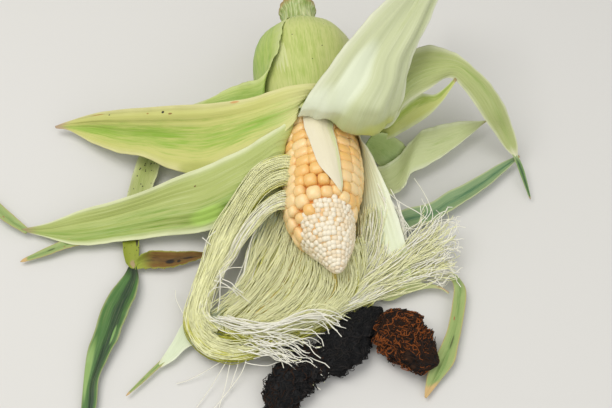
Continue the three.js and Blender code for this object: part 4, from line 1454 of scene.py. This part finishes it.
right_fall = [
    [(16, 47, 26), (15, 37, 20), (13, 26, 15), (10, 14, 12), (5, 2, 10), (-4, -8, 9),
     (-18, -17, 10)],
    [(23, 48, 25), (22, 39, 18), (19, 24, 13), (14, 11, 10), (7, -2, 9), (-4, -10, 8),
     (-18, -19, 9)],
    [(32, 44, 23), (31, 34, 17), (26, 21, 12), (19, 9, 10), (10, 0, 8), (0, -10, 8),
     (-14, -20, 8)],
    [(37, 35, 18), (35, 26, 14), (29, 16, 11), (20, 7, 9), (10, -1, 8), (1, -8, 8), (-12, -18, 8)],
]
fan = [
    [(4, -8, 9), (14, 2, 11), (26, 11, 13), (35, 18, 15), (44, 26, 17), (51, 34, 19), (56, 40, 20)],
    [(3, -10, 8), (13, -2, 9), (27, 8, 11), (40, 17, 13), (51, 25, 15), (61, 32, 17), (68, 39, 18)],
    [(0, -13, 7), (13, -6, 8), (28, 4, 9), (42, 12, 10), (55, 18, 12), (67, 24, 13)],
    [(-3, -17, 7), (13, -8, 7), (29, -1, 7), (43, 3, 8), (57, 7, 9), (70, 7, 9)],
]
fan_tips = [
    [(34, 18, 15), (44, 27, 18), (51, 36, 20), (56, 46, 21), (55, 57, 21)],
    [(41, 21, 15), (54, 31, 17), (65, 41, 18), (76, 46, 18)],
    [(47, 18, 13), (58, 25, 14), (67, 28, 14), (71, 23, 13)],
    [(48, 11, 10), (60, 16, 11), (70, 14, 11)],
    [(51, 5, 9), (62, 8, 9), (74, 6, 9)],
]
low_band = [
    [(20, -3, 8), (7, -9, 8), (-4, -14, 8), (-16, -20, 8), (-27, -26, 9), (-39, -30, 10)],
    [(21, -10, 6), (8, -16, 6), (-4, -22, 6), (-15, -28, 7), (-26, -32, 8), (-38, -35, 9)],
]
left_nodes = ["silk_left_outer", "silk_left_inner", "silk_hook"]
end_nodes = ["silk_ends_low", "silk_ends_high"]
curtain_nodes = ["silk_left_low", "silk_under_left", "silk_under_tip", "silk_under_right"]
right_nodes = ["silk_right", "silk_right_outer", "silk_right_low"]
fan_nodes = ["silk_fan_upper", "silk_fan_lower"]
silk_random = np.random.default_rng(21)

# The beds of silk under the strands: the nodes they stand for, their guides, over which share of
# them each runs, and how far below them it lies. Their yellow-olive is painted shade for the gaps
# between the strands.
beds = [
    ("silk_bed_left", left_nodes, stream, mass_left, 0.02, 0.84, 1.1),
    ("silk_bed_curtain", curtain_nodes, curtain, mass_deep, 0.0, 0.97, 0.9),
    ("silk_bed_right", right_nodes, right_fall, mass_pale, 0.1, 0.95, 0.9),
    ("silk_bed_fan", fan_nodes, fan[1:], mass_pale, 0.05, 0.5, 1.2),
    ("silk_bed_hook", left_nodes, hook[1:], mass_deep, 0.1, 0.95, 1.4),
]
for number, (name, nodes, guides, finish, start, end, drop) in enumerate(beds):
    table = guide_table(guides)
    table[0] += 0.35 * (table[1] - table[0])
    picks = np.linspace(start, end, BED_SECTIONS) * (GUIDE_SAMPLES - 1)
    bed = dict(
        name=name, finish=finish, sections=[table[:, int(pick)] - (0, 0, drop) for pick in picks],
        columns=49, rows=49, ribs=13, rib_rise=0.3, ruffle=0.4, thick=1.4, seed=BED_SEED + number,
    )
    fit(leaf_piece(bed), "silk", *nodes)

# The tones of a family's strands, from the lowest to the top: each goes up to that share. The lower
# strands get the darker olive tones as painted shade in the depths of the silk, and the top ones
# the paler tones as painted highlight.
even_tones = [("olive", 0.22), ("yellow", 0.5), ("pale", 1.0)]
olive_shade_tones = [("olive", 0.42), ("yellow", 0.8), ("pale", 1.0)]
deep_shade_tones = [("olive", 0.6), ("yellow", 1.0)]
pale_tones = [("yellow", 0.25), ("pale", 0.8), ("white", 1.0)]
white_tones = [("pale", 0.25), ("white", 1.0)]
gold_shade_tones = [("gold", 1.0)]
families = [
    ("left", left_nodes, even_tones, dict(
        guides=stream, locks=130, each=5, steps=26, start=0.02, finish=0.4, loose=1.8, tight=1.8,
        sway=0.8, depth=4, stray=0.7,
    )),
    ("veil", left_nodes, pale_tones, dict(
        guides=veil, locks=34, each=5, steps=22, start=0.02, finish=0.4, loose=2.2, sway=1.0,
        depth=2.5, stray=0.9,
    )),
    ("hook", left_nodes, olive_shade_tones, dict(
        guides=hook, locks=40, each=6, start=0.3, finish=0.3, loose=1.8, sway=0.8, depth=3.5,
    )),
    ("curtain", curtain_nodes, even_tones, dict(
        guides=curtain, locks=215, each=5, start=0.03, finish=0.35, loose=2.4, tight=2.4, sway=1.4,
        depth=4.2, stray=0.8,
    )),
    # Short gold strands along the ear's lower left edge: partly the silk's own colour, partly
    # painted shade under the ear.
    ("golden_shade", curtain_nodes, gold_shade_tones, dict(
        guides=curtain[1:6], locks=34, each=4, start=0.02, finish=0.9, loose=1.5, sway=0.5, depth=3,
    )),
    ("husk_left", ["silk_left_low"], pale_tones, dict(
        guides=husk_left_sparse, locks=14, each=3, start=0.3, finish=0.3, loose=2.2, depth=1.5,
    )),
    ("husk_right", right_nodes, white_tones, dict(
        guides=husk_right_sparse, locks=16, each=3, start=0.4, finish=0.4, loose=3.0, depth=1.5,
        stray=0.9,
    )),
    ("right", right_nodes, pale_tones, dict(
        guides=right_fall, locks=104, each=5, start=0.3, finish=0.3, loose=2.8, tight=2.4,
        depth=3.5, stray=0.9,
    )),
    ("band", right_nodes, olive_shade_tones, dict(
        guides=low_band, locks=22, each=5, start=0.3, finish=0.4, loose=2.5, depth=3, stray=0.9,
    )),
    ("pocket", left_nodes, deep_shade_tones, dict(
        guides=pocket, locks=9, each=4, start=0.3, finish=0.4, loose=2.0, depth=2.5, stray=0.9,
    )),
    ("fan", fan_nodes, pale_tones, dict(
        guides=fan, locks=62, each=4, start=0.12, finish=0.62, loose=2.6, tight=2.2, sway=1.6,
        depth=5, stray=1.2, frizz=1.5, spread_end=1.6,
    )),
    ("fan_tips", fan_nodes, white_tones, dict(
        guides=fan_tips, locks=38, each=2, start=0.4, finish=0.5, loose=6.0, sway=2.6, depth=5,
        stray=1.4, frizz=1.8, curl=(1.5, 3), spread_end=1.4,
    )),
    ("white_band", end_nodes, white_tones, dict(
        guides=white_band, locks=6, each=4, start=0.2, finish=0.45, loose=1.6, depth=2.5,
        stray=1.0, frizz=1.6, curl=(2, 3.5), spread_end=2.6,
    )),
    ("white_ends", end_nodes, white_tones, dict(
        guides=white_ends, locks=18, each=3, start=0.3, finish=0.6, loose=2.6, tight=3.2, depth=5,
        stray=1.9, frizz=2.3, spread_end=1.9,
    )),
]
for family, nodes, tones, settings in families:
    paths, layer = lay_strands(silk_random, **settings)
    # Mostly by height: lower strands take the darker tones as painted shade, the top ones the paler
    # as painted highlight.
    shade_rank = silk_random.uniform(0, 1, len(layer)) * 0.3 + layer * 0.7
    low = -1.0
    for tone, high in tones:
        chosen = (shade_rank >= low) & (shade_rank < high)
        low = high
        if not chosen.any():
            continue
        name = f"silk_{family}_{tone}"
        thick = SILK_THICK * (1.2 if tone == "white" else 1)
        strands = strands_piece(name, paths[chosen], silk_tones[tone], thick, silk_random)
        fit(strands, "silk", *nodes)

# Single threads lie apart from the locks.
threads = [
    [(-59, -43, 9), (-63, -49, 6), (-69, -59, 3), (-76, -70, 1.2)],
    [(-57, -41, 9), (-59, -47, 7), (-61, -58, 4), (-64, -70, 1.2)],
    [(-50, -42, 9), (-51, -48, 7), (-55, -55, 4), (-67, -71, 1.2)],
    [(-54, -43, 9), (-55, -48, 6), (-57, -54, 4), (-59, -60, 1.5)],
    [(-63, -45, 7), (-71, -49, 4), (-81, -54, 2), (-88, -56, 1.2)],
    [(-93, 2, 4), (-92, -5, 6), (-88, -14, 8), (-84, -21, 9)],
    [(-47, 32, 24), (-50, 24, 20), (-52, 12, 17), (-54, 4, 15), (-58, -2, 13)],
    [(-54, 10, 16), (-61, 8, 18), (-65, 5, 18), (-69, 2, 17)],
    [(-67, 6, 19), (-66, 1, 19), (-66, -7, 17), (-66, -11, 15), (-67, -18, 13)],
    [(-73, -9, 14), (-72, -7, 16), (-68, -5, 18), (-62, -5, 18), (-57, -6, 16), (-53, -9, 14),
     (-49, -12, 13)],
    [(-70, 1, 16), (-65, -2, 18), (-60, -5, 17), (-56, -8, 14)],
    [(-65, 0, 19), (-60, -2, 18), (-57, -5, 17), (-53, -7, 15)],
    [(-78, 28, 20), (-76, 26, 20), (-73, 23, 20)],
    [(-70, 30, 24), (-75, 26, 21), (-76, 20, 18), (-77, 14, 15)],
    [(-62, 10, 17), (-64, 5, 18), (-66, 0, 19), (-70, -4, 15)],
    [(29, 55, 30), (38, 50, 25), (48, 46, 21), (54, 42, 19)],
    [(48, 72, 21), (52, 62, 22), (55, 53, 22), (57, 45, 21), (56, 39, 20)],
    [(35, 47, 26), (38, 39, 20), (41, 31, 16), (42, 26, 15)],
    [(36, 44, 24), (42, 38, 19), (45, 31, 17)],
    [(40, 36, 19), (46, 35, 19), (54, 39, 20), (59, 43, 20)],
    [(44, 26, 17), (49, 33, 19), (50, 42, 21), (50, 50, 22)],
    [(54, 26, 16), (60, 27, 16), (63, 23, 15), (60, 19, 14)],
    [(-21, -32, 14), (-5, -29, 9), (8, -22, 7), (18, -18, 6)],
    [(-23, -39, 13), (-18, -43, 12), (-10, -41, 10), (-4, -38, 9)],
    [(-28, -45, 11), (-24, -51, 8), (-20, -54, 7), (-14, -52, 7)],
    [(-24, -40, 12), (-17, -50, 9), (-14, -58, 6), (-10, -61, 4)],
]
singles = np.array([spread_over(route, SILK_STEPS) for route in threads])
strands = strands_piece("silk_threads", singles, silk_tones["white"], THREAD_THICK, silk_random)
fit(strands, "silk")

# The dried silk
# The silk that hung outside the husks has withered to a dark matted rope and a rusty tuft, whose
# rust on its upper left is partly painted highlight. Short curly threads lie felted over each lock.
CORE_STEPS = 44
CORE_SIDES = 32
FELT_STEPS = 9
FELT_REACH = (7, 20)
FELT_THICK = 0.5
DRY_CLEAR = 0.5
# The lumps of a lock's skin: how high each is, and how fast it turns round and along the lock.
DRY_LUMPS = [(0.1, 3, 14), (0.08, 7, -31), (0.06, 11, 47)]
dry_black = silk_finish("dry_silk_black", "121315", 0.7)
dry_grey = silk_finish("dry_silk_grey", "2a2625", 0.7)
dry_rust_highlight = silk_finish("dry_silk_rust_highlight", "98521f", 0.65)
dry_brown = silk_finish("dry_silk_brown", "301b0b", 0.7)


def dry_surface(lock, t, angle, swell, phase):
    """Points on the lumpy skin of a dried lock, and on its fuzz where swell is over 1."""
    table = guide_table([lock["route"]])[0]
    along = np.gradient(table, axis=0)
    along /= np.linalg.norm(along, axis=1, keepdims=True)
    side = np.stack([along[:, 1], -along[:, 0], np.zeros(len(along))], 1)
    side /= np.linalg.norm(side, axis=1, keepdims=True)
    place = np.clip(t, 0, 1)

    def value_there(values):
        return np.interp(place, np.linspace(0, 1, len(values)), values)

    def points_there(rows):
        return np.stack([value_there(rows[:, k]) for k in range(3)], -1)

    lump = 0.86
    for (height, round_it, along_it), start in zip(DRY_LUMPS, phase):
        lump = lump + height * np.sin(round_it * angle + along_it * t + start)
    taper = np.clip(np.minimum((t + 0.01) * 9, (1.01 - t) * 7), 0, 1) ** 0.6
    lump = lump * taper * swell
    wide = value_there(lock["width"]) / 2 * lump * np.cos(angle)
    high = value_there(lock["depth"]) / 2 * lump * np.sin(angle)
    points = points_there(table) + points_there(side) * wide[..., None]
    points = points + points_there(np.cross(side, along)) * high[..., None]
    points[..., 2] = np.maximum(points[..., 2], DRY_CLEAR)
    return points


def core_piece(name, lock, phase):
    """The matted middle of a dried lock: a lumpy bundle that closes to a point at each end."""
    angles = FULL_TURN * np.arange(CORE_SIDES) / CORE_SIDES
    t, angle = np.meshgrid(np.linspace(0, 1, CORE_STEPS), angles, indexing="ij")
    points = dry_surface(lock, t, angle, 1.0, phase).reshape(-1, 3)
    faces = facing_out(points, tube_faces(CORE_STEPS, CORE_SIDES))
    return new_piece(name, points, faces, [lock["core"]])


def felt(lock, count, span, rng, phase):
    """Short threads that wander over the skin of a dried lock in all directions."""
    length = np.linalg.norm(np.diff(np.array(lock["route"], float), axis=0), axis=1).sum()
    girth = max(lock["width"]) * 0.45
    even = np.linspace(0, 1, FELT_STEPS)

    def drawn(low, high):
        return rng.uniform(low, high, count)[:, None]

    heading = drawn(0, FULL_TURN) + even * rng.normal(0, 2.2, count)[:, None]
    heading = heading + 0.9 * np.sin(9 * even + drawn(0, ANY_PHASE))
    step = drawn(*FELT_REACH) / FELT_STEPS
    t = drawn(*span) + np.cumsum(step * np.cos(heading), axis=1) / length
    angle = drawn(0, FULL_TURN) + np.cumsum(step * np.sin(heading), axis=1) / girth
    swell = drawn(0.95, 1.1) + 0.06 * np.sin(7 * even + drawn(0, ANY_PHASE))
    swell = swell + rng.exponential(0.05, count)[:, None] * even**2
    return dry_surface(lock, t, angle, swell, phase)


dry_locks = [
    dict(
        name="dry_hank", core=dry_black,
        route=[(25, -10, 4.5), (19, -17, 6), (10, -27, 7), (0, -40, 7), (-10, -50, 6)],
        width=[8, 20, 26, 22], depth=[5, 11, 12, 10],
        tones=[(dry_black, 900, (0, 1)), (dry_grey, 260, (0, 1))],
    ),
    dict(
        name="dry_end", core=dry_black,
        route=[(-6, -44, 7), (-20, -50, 7), (-28, -60, 6), (-32, -80, 4)],
        width=[20, 26, 22, 12], depth=[10, 12, 8],
        tones=[(dry_black, 700, (0, 1)), (dry_grey, 200, (0, 1)), (dry_brown, 200, (0, 1))],
    ),
    dict(
        name="dry_tuft", core=dry_brown,
        route=[(28, -14, 7), (34, -28, 9), (42, -40, 9), (54, -47, 7)],
        width=[18, 30, 28, 14], depth=[10, 15, 8],
        # The rust fibres lie only over the tuft's upper left part: partly the silk's own rust,
        # partly painted highlight where the light falls.
        tones=[(dry_brown, 850, (0, 1)), (dry_rust_highlight, 380, (0.12, 0.72)), (dry_black, 420, (0, 1))],
    ),
]
dry_random = np.random.default_rng(33)
for lock in dry_locks:
    phase = dry_random.uniform(0, ANY_PHASE, 3)
    fit(core_piece(lock["name"] + "_core", lock, phase), "dry_silk", lock["name"])
    for tone, (finish, count, span) in enumerate(lock["tones"]):
        paths = felt(lock, count, span, dry_random, phase)
        name = f"{lock['name']}_fibres_{tone + 1}"
        fibres = strands_piece(name, paths, finish, FELT_THICK, dry_random)
        fit(fibres, "dry_silk", lock["name"])

# The floor and the light
# A pale plain floor under soft light from above: a warm lamp from the left, a weaker cool one from
# the right, and a bright even sky.
FLOOR_HALF = 3.0
LIGHT_AIM = Vector((0, 0, 0.02))
SKY_COLOUR = (1.0, 0.99, 0.96, 1)
SKY_STRENGTH = 0.52

floor_mesh = bpy.data.meshes.new("floor")
corners = [(x * FLOOR_HALF, y * FLOOR_HALF, 0) for x, y in [(-1, -1), (1, -1), (1, 1), (-1, 1)]]
floor_mesh.from_pydata(corners, [], [(0, 1, 2, 3)])
floor_mesh.materials.append(new_finish("floor_pale", 0.9, "d8d7d4")[0])
floor = new_object("floor", floor_mesh)


def soft_light(name, place, size, power, colour):
    lamp = bpy.data.lights.new(name, "AREA")
    lamp.size = size
    lamp.energy = power
    lamp.color = colour
    light = new_object(name, lamp)
    light.location = place
    light.rotation_euler = (LIGHT_AIM - Vector(place)).to_track_quat("-Z", "Y").to_euler()


soft_light("key", (-0.4, 0.0, 1.1), 0.9, 8, (1.0, 0.98, 0.94))
soft_light("fill", (0.7, -0.8, 0.9), 1.2, 5, (0.97, 0.98, 1.0))
world = bpy.data.worlds.new("studio")
world.use_nodes = True
sky = world.node_tree.nodes["Background"].inputs
sky[0].default_value = SKY_COLOUR
sky[1].default_value = SKY_STRENGTH
bpy.context.scene.world = world
bpy.context.scene.view_settings.view_transform = "Standard"

bpy.context.view_layer.update()
